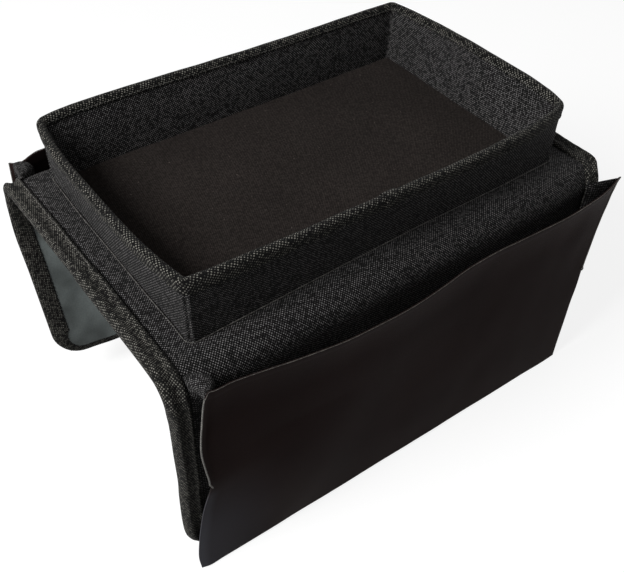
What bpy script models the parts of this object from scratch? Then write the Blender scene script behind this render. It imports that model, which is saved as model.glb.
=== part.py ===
"""Armrest organizer: a foam mat that saddles an armrest, a walled tray sewn on its top and a
gusseted pocket on each of its two hanging flaps.

X runs along the armrest, Y across it (the front flap is at -Y), Z up, in metres. The origin is the
middle of the face that rests on the armrest. The mat's pieces are laid out flat, as they are cut,
and then laid over the armrest by on_mat. The pockets' pieces are laid out flat too, and hung on
the flaps by on_pocket.
"""

import math
from typing import NamedTuple

import bmesh
import bpy
from mathutils import Vector

# Cloth, foam and the clearance between pieces that touch
CLOTH = 0.0006
GAP = 0.0003
FOAM = 0.0026

# The mat: a foam sheet between an outer cloth and a lining, with tape folded over its edge
MAT_CUT = 0.522
END_STRIP = 0.030
SIDE_STRIP = 0.021
FLAP_CORNER = 0.022
MAT_TAPE = 0.012
LEAN_RADIUS = 0.060
FRONT_SHOULDER = 0.018
BACK_SHOULDER = 0.009
FRONT_PLUMB = 0.045
BACK_PLUMB = 0.028
FRONT_LEAN = math.radians(-1)
BACK_LEAN = math.radians(16)

# The pockets: a smooth panel, two side gussets and a bottom strip
POCKET_INSET = 0.010
POCKET_DEPTH = 0.010
FRONT_DROP = 0.027
BACK_DROP = 0.008
FRONT_EAR = 0.010
BACK_EAR = 0.004
FLARE_SHARE = 0.65
FRONT_FLARE = math.radians(22)
BACK_FLARE = math.radians(2)
MOUTH_BOW = 0.008
MOUTH_DIP = 0.007
HEM = 0.008
PIPING = 0.0008
SEAM_LAP = 0.010

# The tray: boards between an outer cover and an inner lining, with tape folded over the rim
TRAY_LENGTH = 0.300
TRAY_WIDTH = 0.182
TRAY_HEIGHT = 0.046
TRAY_SHIFT = 0.006
TRAY_CORNER = 0.007
LINING_CORNER = 0.002
WALL_BOARD = 0.0024
BASE_BOARD = 0.0020
LINING_SLOPE = 0.0035
LINING_BELLY = 0.0012
RIM_TAPE = 0.007
WALL_FLARE = 0.0022
WELT = 0.0008
LAP_PLACE = -0.011
LAP_LENGTH = 0.009

# How far each wall's rim leans out in its middle, and how much of that shifts towards one end
LEFT_BOW = 0.0068
RIGHT_BOW = 0.0080
FRONT_BOW = 0.0055
BACK_BOW = 0.0025
LEFT_SKEW_SHARE = 0.2
RIGHT_SKEW_SHARE = 0.4
FRONT_SKEW_SHARE = -0.4
BACK_SKEW_SHARE = 1.5
WALL_BOW_POWER = 3

# How finely the round forms are cut, and how near a cut takes a point that is already there
SNAP = GAP / 20
ARC_STEPS = 6
BEND_STEP = math.radians(4)
ROUND_STEPS = 8
BOW_STEPS = 14
WALL_STEPS = 10
LEAN_STEPS = 5
PANEL_STEPS = 3
EAR_POWER = 8

# Sizes that follow from those above: the mat leaves a strip bare on each side of the tray
MAT_LENGTH = TRAY_LENGTH + 2 * END_STRIP
SADDLE_WIDTH = TRAY_WIDTH + 2 * SIDE_STRIP
MAT = 2 * (CLOTH + GAP) + FOAM
EDGE = CLOTH + GAP
FLAP_END = MAT_CUT / 2
POCKET_HALF = MAT_LENGTH / 2 - POCKET_INSET
GUSSET_FACE = MAT_LENGTH / 2 - MAT_TAPE - GAP
CLEAR = EDGE + GAP
TRAY_FOOT = MAT + GAP
RIM_TOP = MAT + TRAY_HEIGHT
RIM = 4 * EDGE + WALL_BOARD
BOARD_INSET = 2 * EDGE
LINING_INSET = BOARD_INSET + WALL_BOARD + GAP
FLOOR_TOP = TRAY_FOOT + BASE_BOARD + EDGE

# Colour and roughness of each finish
OXFORD = ((0.016, 0.016, 0.018), 0.85)
TAPE = ((0.013, 0.013, 0.014), 0.80)
NYLON = ((0.010, 0.010, 0.012), 0.60)
FLOOR_CLOTH = ((0.017, 0.014, 0.013), 0.90)
GREY_LINING = ((0.20, 0.22, 0.25), 0.55)
WHITE_FOAM = ((0.75, 0.75, 0.72), 0.90)
GREY_BOARD = ((0.35, 0.33, 0.30), 0.80)
THREAD = ((0.055, 0.055, 0.060), 0.70)

# The mat's plies: how far each stops short of the mat's edge, its two faces and its finish
PLIES = {"lining": (MAT_TAPE + GAP, (0, CLOTH), GREY_LINING),
         "foam": (EDGE, (EDGE, EDGE + FOAM), WHITE_FOAM),
         "shell": (EDGE, (MAT - CLOTH, MAT), OXFORD)}


class Side(NamedTuple):
    """One side of the mat: what its shoulder, flap and pocket do differently from the other's."""
    name: str
    sign: int
    shoulder: float
    plumb: float
    lean: float
    drop: float
    ear: float
    flare: float


FRONT = Side("front", -1, FRONT_SHOULDER, FRONT_PLUMB, FRONT_LEAN, FRONT_DROP, FRONT_EAR,
             FRONT_FLARE)
BACK = Side("back", 1, BACK_SHOULDER, BACK_PLUMB, BACK_LEAN, BACK_DROP, BACK_EAR, BACK_FLARE)


# Courses: how the mat and the pockets run, seen from the end

def walk(start, course, distance):
    """The place and heading at a distance along straight and bent lengths, and straight on after."""
    y, z, heading = start
    for length, turn in course:
        step = min(distance, length)
        if turn:
            radius = length / turn
            after = heading + step / radius
            y += radius * (math.sin(after) - math.sin(heading))
            z += radius * (math.cos(after) - math.cos(heading))
            heading = after
        else:
            y += step * math.cos(heading)
            z -= step * math.sin(heading)
        distance -= step
    return y + distance * math.cos(heading), z - distance * math.sin(heading), heading


def flat_half(side):
    """From the middle of the mat to where the shoulder starts to bend."""
    return SADDLE_WIDTH / 2 - side.shoulder


def flap_start(side):
    """From the middle of the mat, along it, to where the shoulder's bend ends."""
    return flat_half(side) + (side.shoulder - MAT / 2) * math.pi / 2


def lean_length(side, out):
    """The length of the flap's slow bend, measured this far outside the middle of the foam."""
    return (math.copysign(LEAN_RADIUS, side.lean) + out) * side.lean


def mat_course(side):
    """The mat from its middle: flat, round the shoulder, plumb down, and a slow bend inwards."""
    return [(flat_half(side), 0), (flap_start(side) - flat_half(side), math.pi / 2),
            (side.plumb, 0), (lean_length(side, 0), side.lean)]


def on_mat(side):
    """Lays flat points (x, distance from the middle, height above the underside) over the arm."""
    def lay(x, s, n):
        y, z, heading = walk((0, MAT / 2, 0), mat_course(side), s)
        out = n - MAT / 2
        return Vector((x, side.sign * (y + out * math.sin(heading)), z + out * math.cos(heading)))
    return lay


def pocket_fold(side):
    """The pocket's bottom fold: below the flap's edge and proud of it, heading up the panel."""
    y, z, heading = walk((0, MAT / 2, 0), mat_course(side), FLAP_END + side.drop)
    out = MAT / 2 + POCKET_DEPTH
    return y + out * math.sin(heading), z + out * math.cos(heading), heading - math.pi


def pocket_course(side):
    """The panel from its fold: beside the flap all the way up, with the mouth turned outwards."""
    bend_end = flap_start(side) + side.plumb + lean_length(side, 0)
    bend = lean_length(side, MAT / 2 + POCKET_DEPTH)
    upper = side.plumb + side.shoulder + side.ear
    return [(FLAP_END + side.drop - bend_end, 0), (bend, -side.lean),
            (upper * (1 - FLARE_SHARE), 0), (upper * FLARE_SHARE, side.flare)]


def pocket_height(side):
    return sum(length for length, turn in pocket_course(side))


def on_pocket(side):
    """Hangs flat points (x, height above the fold, distance outwards) as the pocket's panel."""
    fold, course, height = pocket_fold(side), pocket_course(side), pocket_height(side)

    def lay(x, s, n):
        y, z, heading = walk(fold, course, s)
        out = n + MOUTH_BOW * (s / height) ** 2 * (1 - (x / POCKET_HALF) ** 2)
        return Vector((x, side.sign * (y - out * math.sin(heading)), z - out * math.cos(heading)))
    return lay


def flat_lay(x, y, z):
    return Vector((x, y, z))


def between(low, high, steps):
    return [low + (high - low) * i / steps for i in range(steps + 1)]


def bend_steps(turn):
    return max(1, round(abs(turn) / BEND_STEP))


def bend_stations(side):
    """Where the flap's pieces are cut across, so that they can follow its slow bend."""
    start = flap_start(side) + side.plumb
    return between(start, start + lean_length(side, 0), bend_steps(side.lean))


def pocket_stations(side):
    """Where the panel's pieces are cut across, so that they can follow its bends."""
    (low, _), (bend, _), (plain, _), (flare, _) = pocket_course(side)
    top = low + bend + plain
    return (between(0, low, PANEL_STEPS)[1:] + between(low, low + bend, bend_steps(side.lean))[1:]
            + between(top, top + flare, bend_steps(side.flare))[:-1])


def arc(centre, radius, start, end, steps):
    """Points of an arc, as (first, second) pairs, at angles from the first axis."""
    return [(centre[0] + radius * math.cos(a), centre[1] + radius * math.sin(a))
            for a in between(start, end, steps)]


# Makers: each returns a named object of one closed solid

def material(name, finish):
    colour, roughness = finish
    made = bpy.data.materials.new(name)
    made.use_nodes = True
    shader = made.node_tree.nodes["Principled BSDF"]
    shader.inputs["Base Color"].default_value = (*colour, 1)
    shader.inputs["Roughness"].default_value = roughness
    shader.inputs["Metallic"].default_value = 0
    return made


def origin_of(carrier):
    """Where an empty stands in the world: hinges aren't turned, so their places add up."""
    return carrier.location + origin_of(carrier.parent) if carrier else Vector()


def solid(name, shape, finish, carrier):
    """Closes a bmesh into a named object that its carrier moves."""
    shape.normal_update()
    bmesh.ops.recalc_face_normals(shape, faces=shape.faces)
    if shape.calc_volume(signed=True) < 0:
        bmesh.ops.reverse_faces(shape, faces=shape.faces)
    bmesh.ops.translate(shape, verts=shape.verts, vec=-origin_of(carrier))
    mesh = bpy.data.meshes.new(name)
    shape.to_mesh(mesh)
    shape.free()
    mesh.shade_smooth()
    mesh.set_sharp_from_angle(angle=math.radians(35))
    mesh.materials.append(material(name, finish))
    made = bpy.data.objects.new(name, mesh)
    made.parent = carrier
    bpy.context.scene.collection.objects.link(made)
    return made


def loft(name, rings, finish, carrier, closed=False):
    """Joins rings of as many points each: round and round if closed, with flat ends if not."""
    shape = bmesh.new()
    rows = [[shape.verts.new(point) for point in ring] for ring in rings]
    pairs = list(zip(rows, rows[1:] + rows[:1])) if closed else list(zip(rows, rows[1:]))
    for row, following in pairs:
        for i in range(len(row)):
            j = (i + 1) % len(row)
            shape.faces.new((row[i], row[j], following[j], following[i]))
    if not closed:
        shape.faces.new(rows[0])
        shape.faces.new(rows[-1])
    return solid(name, shape, finish, carrier)


def plate(name, outline, ply, finish, carrier, lay=flat_lay, x_cuts=(), s_cuts=()):
    """A flat sheet cut to an outline, given its thickness and then laid over a form."""
    shape = bmesh.new()
    face = shape.faces.new([shape.verts.new((x, s, ply[0])) for x, s in outline])
    raised = bmesh.ops.extrude_face_region(shape, geom=[face])["geom"]
    bmesh.ops.translate(shape, vec=(0, 0, ply[1] - ply[0]),
                        verts=[v for v in raised if isinstance(v, bmesh.types.BMVert)])
    cuts = [((x, 0, 0), (1, 0, 0)) for x in x_cuts] + [((0, s, 0), (0, 1, 0)) for s in s_cuts]
    for place, normal in cuts:
        everything = shape.verts[:] + shape.edges[:] + shape.faces[:]
        bmesh.ops.bisect_plane(shape, geom=everything, plane_co=place, plane_no=normal,
                               dist=SNAP)
    for vert in shape.verts:
        vert.co = lay(*vert.co)
    return solid(name, shape, finish, carrier)


def bar(name, outline, low, high, finish, carrier):
    """An outline of (y, z) points, drawn out along X."""
    rings = [[(x, y, z) for y, z in outline] for x in (low, high)]
    return loft(name, rings, finish, carrier)


def tape(name, path, section, finish, carrier, lay=flat_lay):
    """A section of (inwards, up) points swept along an edge path of (x, s, inward x, inward s)."""
    rings = [[lay(x + w * dx, s + w * ds, n) for w, n in section] for x, s, dx, ds in path]
    return loft(name, rings, finish, carrier)


def folded_tape(width, low, high):
    """The section of tape folded over an edge that lies between two heights."""
    bottom, top = low - EDGE, high + EDGE
    return [(0, bottom), (width, bottom), (width, low - GAP), (CLOTH, low - GAP),
            (CLOTH, high + GAP), (width, high + GAP), (width, top), (0, top)]


def mat_tape():
    """The section of the tape round the mat, with its underside level with the lining's."""
    return folded_tape(MAT_TAPE, EDGE, MAT)


# The mat's top

def saddle():
    """The flat stretch on the armrest: lining, foam and outer cloth, taped at both ends."""
    front, back = GAP / 2 - flat_half(FRONT), flat_half(BACK) - GAP / 2
    for part, (inset, ply, finish) in PLIES.items():
        half = MAT_LENGTH / 2 - inset
        outline = [(-half, front), (half, front), (half, back), (-half, back)]
        plate(f"saddle_{part}", outline, ply, finish, None)
    for end, turn in (("left", 1), ("right", -1)):
        path = [(-turn * MAT_LENGTH / 2, y, turn, 0) for y in (front, back)]
        tape(f"saddle_binding_{end}", path, mat_tape(), TAPE, None)


def shoulder(side):
    """The mat's bend over the armrest's edge, which opens flat when the flap is lifted."""
    lay = on_mat(side)
    stations = between(flat_half(side) + GAP / 2, flap_start(side) - GAP / 2, ARC_STEPS)
    lined, half = MAT_LENGTH / 2 - MAT_TAPE - GAP, MAT_LENGTH / 2 - EDGE
    section = [(lined, 0), (lined, EDGE), (half, EDGE), (half, MAT)]
    section += [(-x, n) for x, n in reversed(section)]
    rings = [[lay(x, s, n) for x, n in section] for s in stations]
    loft(f"{side.name}_shoulder", rings, OXFORD, None)
    for end, turn in (("left", 1), ("right", -1)):
        path = [(-turn * MAT_LENGTH / 2, s, turn, 0) for s in stations]
        tape(f"{side.name}_shoulder_binding_{end}", path, mat_tape(), TAPE, None, lay)


# The flaps

def flap_edge(side):
    """The flap's taped edge: down one end, round the corners and up the other end."""
    half, turn_at = MAT_LENGTH / 2, FLAP_END - FLAP_CORNER
    sides = [flap_start(side) + GAP / 2, *bend_stations(side), turn_at]
    left = [(-half, s, 1, 0) for s in sides]
    for a in between(0, math.pi / 2, ARC_STEPS)[1:]:
        x = -half + FLAP_CORNER * (1 - math.cos(a))
        left.append((x, turn_at + FLAP_CORNER * math.sin(a), math.cos(a), -math.sin(a)))
    return left + [(-x, s, -dx, ds) for x, s, dx, ds in reversed(left)]


def flap(side, carrier):
    """One hanging flap: lining, foam and outer cloth, with one tape round its free edge."""
    lay, cuts = on_mat(side), bend_stations(side)
    for part, (inset, ply, finish) in PLIES.items():
        outline = [(x + inset * dx, s + inset * ds) for x, s, dx, ds in flap_edge(side)]
        plate(f"{side.name}_flap_{part}", outline, ply, finish, carrier, lay, s_cuts=cuts)
    tape(f"{side.name}_flap_binding", flap_edge(side), mat_tape(), TAPE, carrier, lay)


# The pockets

def mouth_height(side, x):
    """The mouth's edge: level along the middle, with an ear that rises at each end."""
    return pocket_height(side) - MOUTH_DIP * (1 - abs(x / POCKET_HALF) ** EAR_POWER)


def mouth_xs():
    """Places along the mouth, closer together towards the ears."""
    return [POCKET_HALF * math.sin(a) for a in between(-math.pi / 2, math.pi / 2, BOW_STEPS)]


def pocket_panel(side, carrier):
    """The smooth outer wall of the pocket, bowed at its mouth, with a hem over the mouth's edge."""
    lay, xs = on_pocket(side), mouth_xs()
    mouth = [(x, mouth_height(side, x)) for x in reversed(xs)]
    outline = [(-POCKET_HALF, 0), (POCKET_HALF, 0)] + [(x, s - EDGE) for x, s in mouth]
    plate(f"{side.name}_pocket_panel", outline, (0, CLOTH), NYLON, carrier, lay,
          x_cuts=xs[1:-1], s_cuts=pocket_stations(side))
    hem = [(x, mouth_height(side, x), 0, -1) for x in xs]
    tape(f"{side.name}_pocket_hem", hem, folded_tape(HEM, 0, CLOTH), NYLON, carrier, lay)


def pocket_piping(side, carrier):
    """A corded edge up each side of the panel, where the gusset is sewn on."""
    height = pocket_height(side)
    heights = [0, *pocket_stations(side), height]
    section = arc((-GAP - PIPING, CLOTH / 2), PIPING, 0, math.tau, ROUND_STEPS)[:-1]
    for end, turn in (("left", 1), ("right", -1)):
        path = [(-turn * POCKET_HALF, s, turn, 0) for s in heights]
        tape(f"{side.name}_pocket_piping_{end}", path, section, THREAD, carrier, on_pocket(side))


def pocket_gussets(side, carrier):
    """The cloth side walls, which spread between the flap and the panel up to the ears."""
    on_flap, on_panel = on_mat(side), on_pocket(side)
    flap_side = [flap_start(side) + GAP, *bend_stations(side), FLAP_END]
    outline = [on_flap(0, s, MAT + CLEAR) for s in flap_side]
    outline.append(on_flap(0, FLAP_END + side.drop, MAT + POCKET_DEPTH - CLEAR))
    panel_side = [*pocket_stations(side), mouth_height(side, POCKET_HALF)]
    outline += [on_panel(POCKET_HALF, s, -CLEAR) for s in panel_side]
    for end, low in (("left", -GUSSET_FACE), ("right", GUSSET_FACE - CLOTH)):
        bar(f"{side.name}_pocket_gusset_{end}", [(p.y, p.z) for p in outline], low, low + CLOTH,
            OXFORD, carrier)


def pocket_bottom(side, carrier):
    """The strip that closes the pocket, from the flap's taped edge down to the panel's fold."""
    lay, half = on_mat(side), GUSSET_FACE - EDGE
    face = [(FLAP_END - SEAM_LAP, MAT + CLEAR), (FLAP_END, MAT + CLEAR),
            (FLAP_END + side.drop, MAT + POCKET_DEPTH - EDGE)]
    points = [lay(0, s, n) for s, n in face] + [lay(0, s, n + CLOTH) for s, n in reversed(face)]
    bar(f"{side.name}_pocket_bottom", [(p.y, p.z) for p in points], -half, half, NYLON, carrier)


# The tray

def bow_share(t, skew):
    """How far a wall has leaned out at a place along it: all in its middle, none at -1 and 1."""
    return (1 - abs(t) ** WALL_BOW_POWER) * (1 - skew * t)


def leaned(x, y, z):
    """A point of the upright tray, moved as its soft walls lean out: most at the rim."""
    t_x, t_y = x / (TRAY_LENGTH / 2), (y - TRAY_SHIFT) / (TRAY_WIDTH / 2)
    right, back = (1 + t_x) / 2, (1 + t_y) / 2
    along = (right * RIGHT_BOW * bow_share(t_y, RIGHT_SKEW_SHARE)
             - (1 - right) * LEFT_BOW * bow_share(t_y, LEFT_SKEW_SHARE))
    across = (back * BACK_BOW * bow_share(t_x, BACK_SKEW_SHARE)
              - (1 - back) * FRONT_BOW * bow_share(t_x, FRONT_SKEW_SHARE))
    rise = (z - TRAY_FOOT) / (RIM_TOP - TRAY_FOOT)
    return Vector((x + rise * along, y + rise * across, z))


def wall_stations(size, middle):
    """Places along a straight wall where it is cut to lean, closer together towards its ends."""
    half = size / 2 - TRAY_CORNER
    return [middle + half * math.sin(a) for a in between(-math.pi / 2, math.pi / 2, WALL_STEPS)]


def rounded(inset):
    """The tray's outline, this far inside its outer face, as (x, y) points."""
    x, y = TRAY_LENGTH / 2 - inset, TRAY_WIDTH / 2 - inset
    radius = max(TRAY_CORNER - inset, LINING_CORNER)
    along, across = (wall_stations(size, 0)[1:-1] for size in (TRAY_LENGTH, TRAY_WIDTH))
    points = []
    for turn, (sx, sy) in enumerate(((1, 1), (-1, 1), (-1, -1), (1, -1))):
        centre = (sx * (x - radius), TRAY_SHIFT + sy * (y - radius))
        start = turn * math.pi / 2
        points += arc(centre, radius, start, start + math.pi / 2, ARC_STEPS)
        if turn % 2:
            points += [(sx * x, TRAY_SHIFT - sy * s) for s in across]
        else:
            points += [(-sx * s, TRAY_SHIFT + sy * y) for s in along]
    return points


def tray_ring(name, section, finish):
    """A section of (inset, z) points, carried all the way round the tray."""
    rings = [[leaned(x, y, z) for x, y in rounded(inset)] for inset, z in section]
    return loft(name, rings, finish, None, closed=True)


def with_cloth(face):
    """Gives a wall's face of (inset, z) points the thickness of its cloth, inwards."""
    return face + [(inset + CLOTH, z) for inset, z in reversed(face)]


def rim_section(out):
    """Tape folded over the rim: two legs and a round top, this far outside the rim's own tape."""
    middle, radius = RIM / 2, RIM / 2 + out
    centre, foot = (middle, RIM_TOP - RIM / 2), RIM_TOP - RIM_TAPE
    outer = arc(centre, radius, math.pi, 0, ROUND_STEPS)
    inner = arc(centre, radius - CLOTH, 0, math.pi, ROUND_STEPS)
    return ([(middle - radius, foot)] + outer + [(middle + radius, foot)]
            + [(middle + radius - CLOTH, foot)] + inner + [(middle - radius + CLOTH, foot)])


def wall_board(name, corners, stations, turned):
    """A wall's board: its plan's outline from one end to the other and back, leaned with it."""
    (near, far), outline = corners, []
    for face, run in ((near, stations), (far, stations[::-1])):
        outline += [(face, s) if turned else (s, face) for s in run]
    top = RIM_TOP - RIM / 2 + math.sqrt((RIM / 2 - CLOTH) ** 2 - (WALL_BOARD / 2) ** 2) - GAP
    rings = [[leaned(x, y, z) for x, y in outline] for z in between(TRAY_FOOT, top, LEAN_STEPS)]
    loft(f"tray_wall_board_{name}", rings, GREY_BOARD, None)


def tray_boards():
    """The base board and four wall boards, which stop short of the soft corners."""
    inner = BOARD_INSET + WALL_BOARD
    base = (TRAY_FOOT, TRAY_FOOT + BASE_BOARD)
    plate("tray_base_board", rounded(inner + GAP), base, GREY_BOARD, None, leaned)
    x, y = TRAY_LENGTH / 2, TRAY_WIDTH / 2
    along, across = wall_stations(TRAY_LENGTH, 0), wall_stations(TRAY_WIDTH, TRAY_SHIFT)
    for name, turn in (("left", -1), ("right", 1)):
        wall_board(name, [turn * (x - d) for d in (BOARD_INSET, inner)], across, True)
    for name, turn in (("front", -1), ("back", 1)):
        faces = [TRAY_SHIFT + turn * (y - d) for d in (BOARD_INSET, inner)]
        wall_board(name, faces, along, False)


def tray_cloths():
    """The outer cover, the floor cloth and the inner lining, which slopes in round the floor."""
    top, foot, under_tape = RIM_TOP - RIM / 2, FLOOR_TOP - CLOTH, RIM_TOP - RIM_TAPE - GAP
    cover = [(EDGE - WALL_FLARE * (1 - share), TRAY_FOOT + (under_tape - TRAY_FOOT) * share)
             for share in between(0, 1, LEAN_STEPS)] + [(EDGE, top)]
    tray_ring("tray_outer_cover", with_cloth(cover), OXFORD)
    floor = rounded(LINING_INSET + LINING_SLOPE + EDGE)
    plate("tray_floor_cover", floor, (foot, FLOOR_TOP), FLOOR_CLOTH, None, leaned)
    face = []
    for share in between(0, 1, ARC_STEPS):
        belly = LINING_BELLY * math.sin(math.pi * share)
        inset = LINING_INSET + LINING_SLOPE * (1 - share) + belly
        face.append((inset, foot + (under_tape - foot) * share))
    face.append((LINING_INSET, top))
    tray_ring("tray_inner_lining", with_cloth(face), OXFORD)


def tray_trim():
    """The rim's tape with its lapped end, and the welt round the tray's foot."""
    tray_ring("tray_rim_binding", rim_section(0), TAPE)
    front = TRAY_SHIFT - TRAY_WIDTH / 2
    ends = (LAP_PLACE - LAP_LENGTH / 2, LAP_PLACE + LAP_LENGTH / 2)
    lap = [[leaned(x, front + inset, z) for inset, z in rim_section(EDGE)] for x in ends]
    loft("tray_rim_lap", lap, TAPE, None)
    centre = (EDGE - WALL_FLARE - GAP - WELT, TRAY_FOOT + WELT)
    tray_ring("tray_base_welt", arc(centre, WELT, 0, math.tau, ROUND_STEPS)[:-1], THREAD)


# The joints and the whole

def hinge(name, place, parent=None):
    """An empty on a joint's axis, which runs along X."""
    made = bpy.data.objects.new(name, None)
    made.parent = parent
    made.location = place - origin_of(parent)
    bpy.context.scene.collection.objects.link(made)
    return made


def flap_hinge(side):
    """The line about which a quarter turn lays the flap flat without stretching the mat."""
    middle = side.shoulder - MAT / 2
    y = flat_half(side) + middle * math.pi / 4
    return Vector((0, side.sign * y, MAT / 2 - middle * (1 - math.pi / 4)))


def build():
    for leftover in list(bpy.data.objects):
        bpy.data.objects.remove(leftover)
    saddle()
    tray_boards()
    tray_cloths()
    tray_trim()
    for side in (FRONT, BACK):
        shoulder(side)
        hanging = hinge(f"{side.name}_flap_hinge", flap_hinge(side))
        flap(side, hanging)
        pocket_bottom(side, hanging)
        pocket_gussets(side, hanging)
        opening = hinge(f"{side.name}_pocket_hinge", on_pocket(side)(0, 0, 0), hanging)
        pocket_panel(side, opening)
        pocket_piping(side, opening)


build()
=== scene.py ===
# %% [markdown]
# # An armrest organizer in cloth, tape and thread
#
# A long foam mat lies over the arm of a sofa. A walled tray is sewn on top of it, and a pocket
# hangs on each of its two flaps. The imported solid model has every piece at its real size. Here
# each soft solid gives way to cloth that is cut flat, laid over the same course and sewn.

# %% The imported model
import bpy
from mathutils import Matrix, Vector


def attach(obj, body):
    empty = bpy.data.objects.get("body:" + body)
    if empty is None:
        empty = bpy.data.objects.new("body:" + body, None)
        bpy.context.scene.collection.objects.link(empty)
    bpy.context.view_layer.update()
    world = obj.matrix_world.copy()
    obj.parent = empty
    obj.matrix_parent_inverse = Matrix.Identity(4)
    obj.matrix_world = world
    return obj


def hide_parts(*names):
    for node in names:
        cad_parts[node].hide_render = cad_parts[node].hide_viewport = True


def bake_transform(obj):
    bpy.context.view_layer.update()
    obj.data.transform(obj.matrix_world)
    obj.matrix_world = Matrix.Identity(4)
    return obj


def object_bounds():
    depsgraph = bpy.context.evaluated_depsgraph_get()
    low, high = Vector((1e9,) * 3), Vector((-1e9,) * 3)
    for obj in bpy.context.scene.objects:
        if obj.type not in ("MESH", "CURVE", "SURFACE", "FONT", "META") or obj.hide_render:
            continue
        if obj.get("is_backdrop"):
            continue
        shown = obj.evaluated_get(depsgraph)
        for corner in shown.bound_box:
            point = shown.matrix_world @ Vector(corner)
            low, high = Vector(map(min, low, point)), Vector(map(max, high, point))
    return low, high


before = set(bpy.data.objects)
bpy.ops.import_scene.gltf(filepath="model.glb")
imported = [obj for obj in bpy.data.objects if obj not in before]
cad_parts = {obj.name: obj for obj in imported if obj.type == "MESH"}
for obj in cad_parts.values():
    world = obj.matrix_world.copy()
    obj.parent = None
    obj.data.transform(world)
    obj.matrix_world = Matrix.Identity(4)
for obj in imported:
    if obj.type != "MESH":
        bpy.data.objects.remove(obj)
cad_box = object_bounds()

# %% [markdown]
# ## Tools
#
# Blender's own modules make and measure the cloth. Its noise makes cloth uneven, and it is the
# same each run, because it depends only on the place that is asked for.

# %% Tools
import math
from typing import NamedTuple

import bmesh
import bpy
from mathutils import Matrix, Vector, noise

print("Blender", bpy.app.version_string)

# %% [markdown]
# ## Sizes
#
# Every length here is in metres and is the solid model's own, because the cloth has to fit the
# same space. X runs along the armrest, the front pocket is at -Y, and the mat's underside is at
# z 0.

# %% Sizes of the mat, the tray and the pockets
CLOTH, GAP, MAT = 0.0006, 0.0003, 0.0044
EDGE = CLOTH + GAP
TRAY_LENGTH, TRAY_WIDTH, TRAY_SHIFT = 0.300, 0.182, 0.006
MAT_HALF, FLAP_END, FLAP_CORNER, MAT_TAPE = 0.180, 0.261, 0.022, 0.012
SADDLE_WIDTH, LEAN_RADIUS = 0.224, 0.060
POCKET_HALF, POCKET_DEPTH, FLARE_SHARE = 0.170, 0.010, 0.65
HEM, BELLY = 0.008, 0.0028
TRAY_FOOT, FLOOR_TOP, RIM_TOP = 0.0047, 0.0076, 0.0504
TRAY_CORNER, FOOT_CORNER, LINING_CORNER, WALL_FLARE = 0.005, 0.004, 0.002, 0.0022
RIM, RIM_TAPE, RIM_TAPE_INSIDE, WALL_BOARD = 0.006, 0.010, 0.005, 0.0024
LINING_INSET, LINING_SLOPE, LINING_BELLY = 0.0045, 0.0035, 0.0012
GUSSET_FACE = MAT_HALF - MAT_TAPE - GAP
LAP_PLACE, LAP_LENGTH = -0.011, 0.009
print("mat", 2 * MAT_HALF, "x", 2 * FLAP_END, "m, laid flat")

# %% [markdown]
# ## Stations
#
# Cloth that has been used is never quite even. Where the front pocket's mouth bows out, dips or
# pulls in, a short table says so at a few stations, and a smooth curve runs through them.

# %% A smooth curve through stations
TINY = 1e-6


def stations(table, at):
    """The values between a table's stations; the first column is the place."""
    last = len(table) - 1
    i = max(0, min(last - 1, sum(row[0] <= at for row in table) - 1))
    before, low, high, after = (table[max(0, min(last, k))] for k in (i - 1, i, i + 1, i + 2))
    span = high[0] - low[0]
    t = max(0, min(1, (at - low[0]) / span))
    values = []
    for a, b, c, d in list(zip(before, low, high, after))[1:]:
        rise = (c - a) / max(high[0] - before[0], TINY) * span
        fall = (d - b) / max(after[0] - low[0], TINY) * span
        bend = 3 * (c - b) - 2 * rise - fall + t * (rise + fall - 2 * (c - b))
        values.append(b + t * (rise + t * bend))
    return values


print("a quarter of the way from 0 to 1:", stations(((0, 0), (1, 1)), 0.25))

# %% [markdown]
# ## Three small curves
#
# fade() starts or ends something softly, groove() draws a seam or a swell, and between() sets
# rows at an even step. All the cloth below is shaped with these.

# %% Fades, grooves and even steps
def fade(value, low, high):
    """0 at low, 1 at high and smooth in between."""
    t = max(0, min(1, (value - low) / (high - low)))
    return t * t * (3 - 2 * t)


def groove(distance, width):
    """1 on a seam and fading to 0 beside it."""
    return math.exp(-(distance / width) ** 2)


def between(low, high, steps):
    return [low + (high - low) * i / steps for i in range(steps + 1)]


print("fading in:", [round(fade(value, 0, 1), 2) for value in between(0, 1, 5)])

# %% [markdown]
# ## How this one hangs
#
# These tables are in millimetres. A row starts with its place: along the arm for a mouth, a foot
# and a hang, and along the drop for an edge and a spread. A mouth's row then says how far the cloth
# bows out and how far it dips, a foot's its lift and its tuck inwards, and an edge's its shift along
# the arm and its curl inwards. A spread moves the mat's end, and a hang lengthens its flap.

# %% Mouths, feet, edges, spreads and hangs
def mm(*rows):
    """A table in metres, from rows in millimetres."""
    return [[value / 1000 for value in row] for row in rows]


FRONT_MOUTH = mm((-170, -1.8, 8), (-168.7, -2.6, 7.1), (-166.5, -4, 7), (-163, -3.3, 7),
                 (-158, -3, 7), (-152, -2.8, 7), (-146, -2, 7), (-136, -0.3, 7), (-105, 4.5, 7),
                 (-72, 9.1, 7), (-45, 9.9, 7), (-18, 9, 7), (18, 5.8, 7), (50, 4.9, 7),
                 (89, 5.9, 6.9), (120, 6.7, 6.6), (145, 6.2, 5.1), (160, 4.2, 2.8),
                 (170, 1.4, 1.2))
BACK_MOUTH = mm((-170, 1.7, 1), (-168, -0.1, 1), (-164, -1.9, 0.9), (-160, -1.4, 0.4),
                (-156, -0.5, -0.6), (-150, 1, -1.2), (-143.5, 2.5, -0.4), (-137, 5.2, 1),
                (-131, 7.5, 2.2), (-115, 9.5, 4), (-80, 9, 6.5), (0, 8, 7), (100, 7, 7),
                (150, 4, 5), (170, 1, 0))
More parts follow.
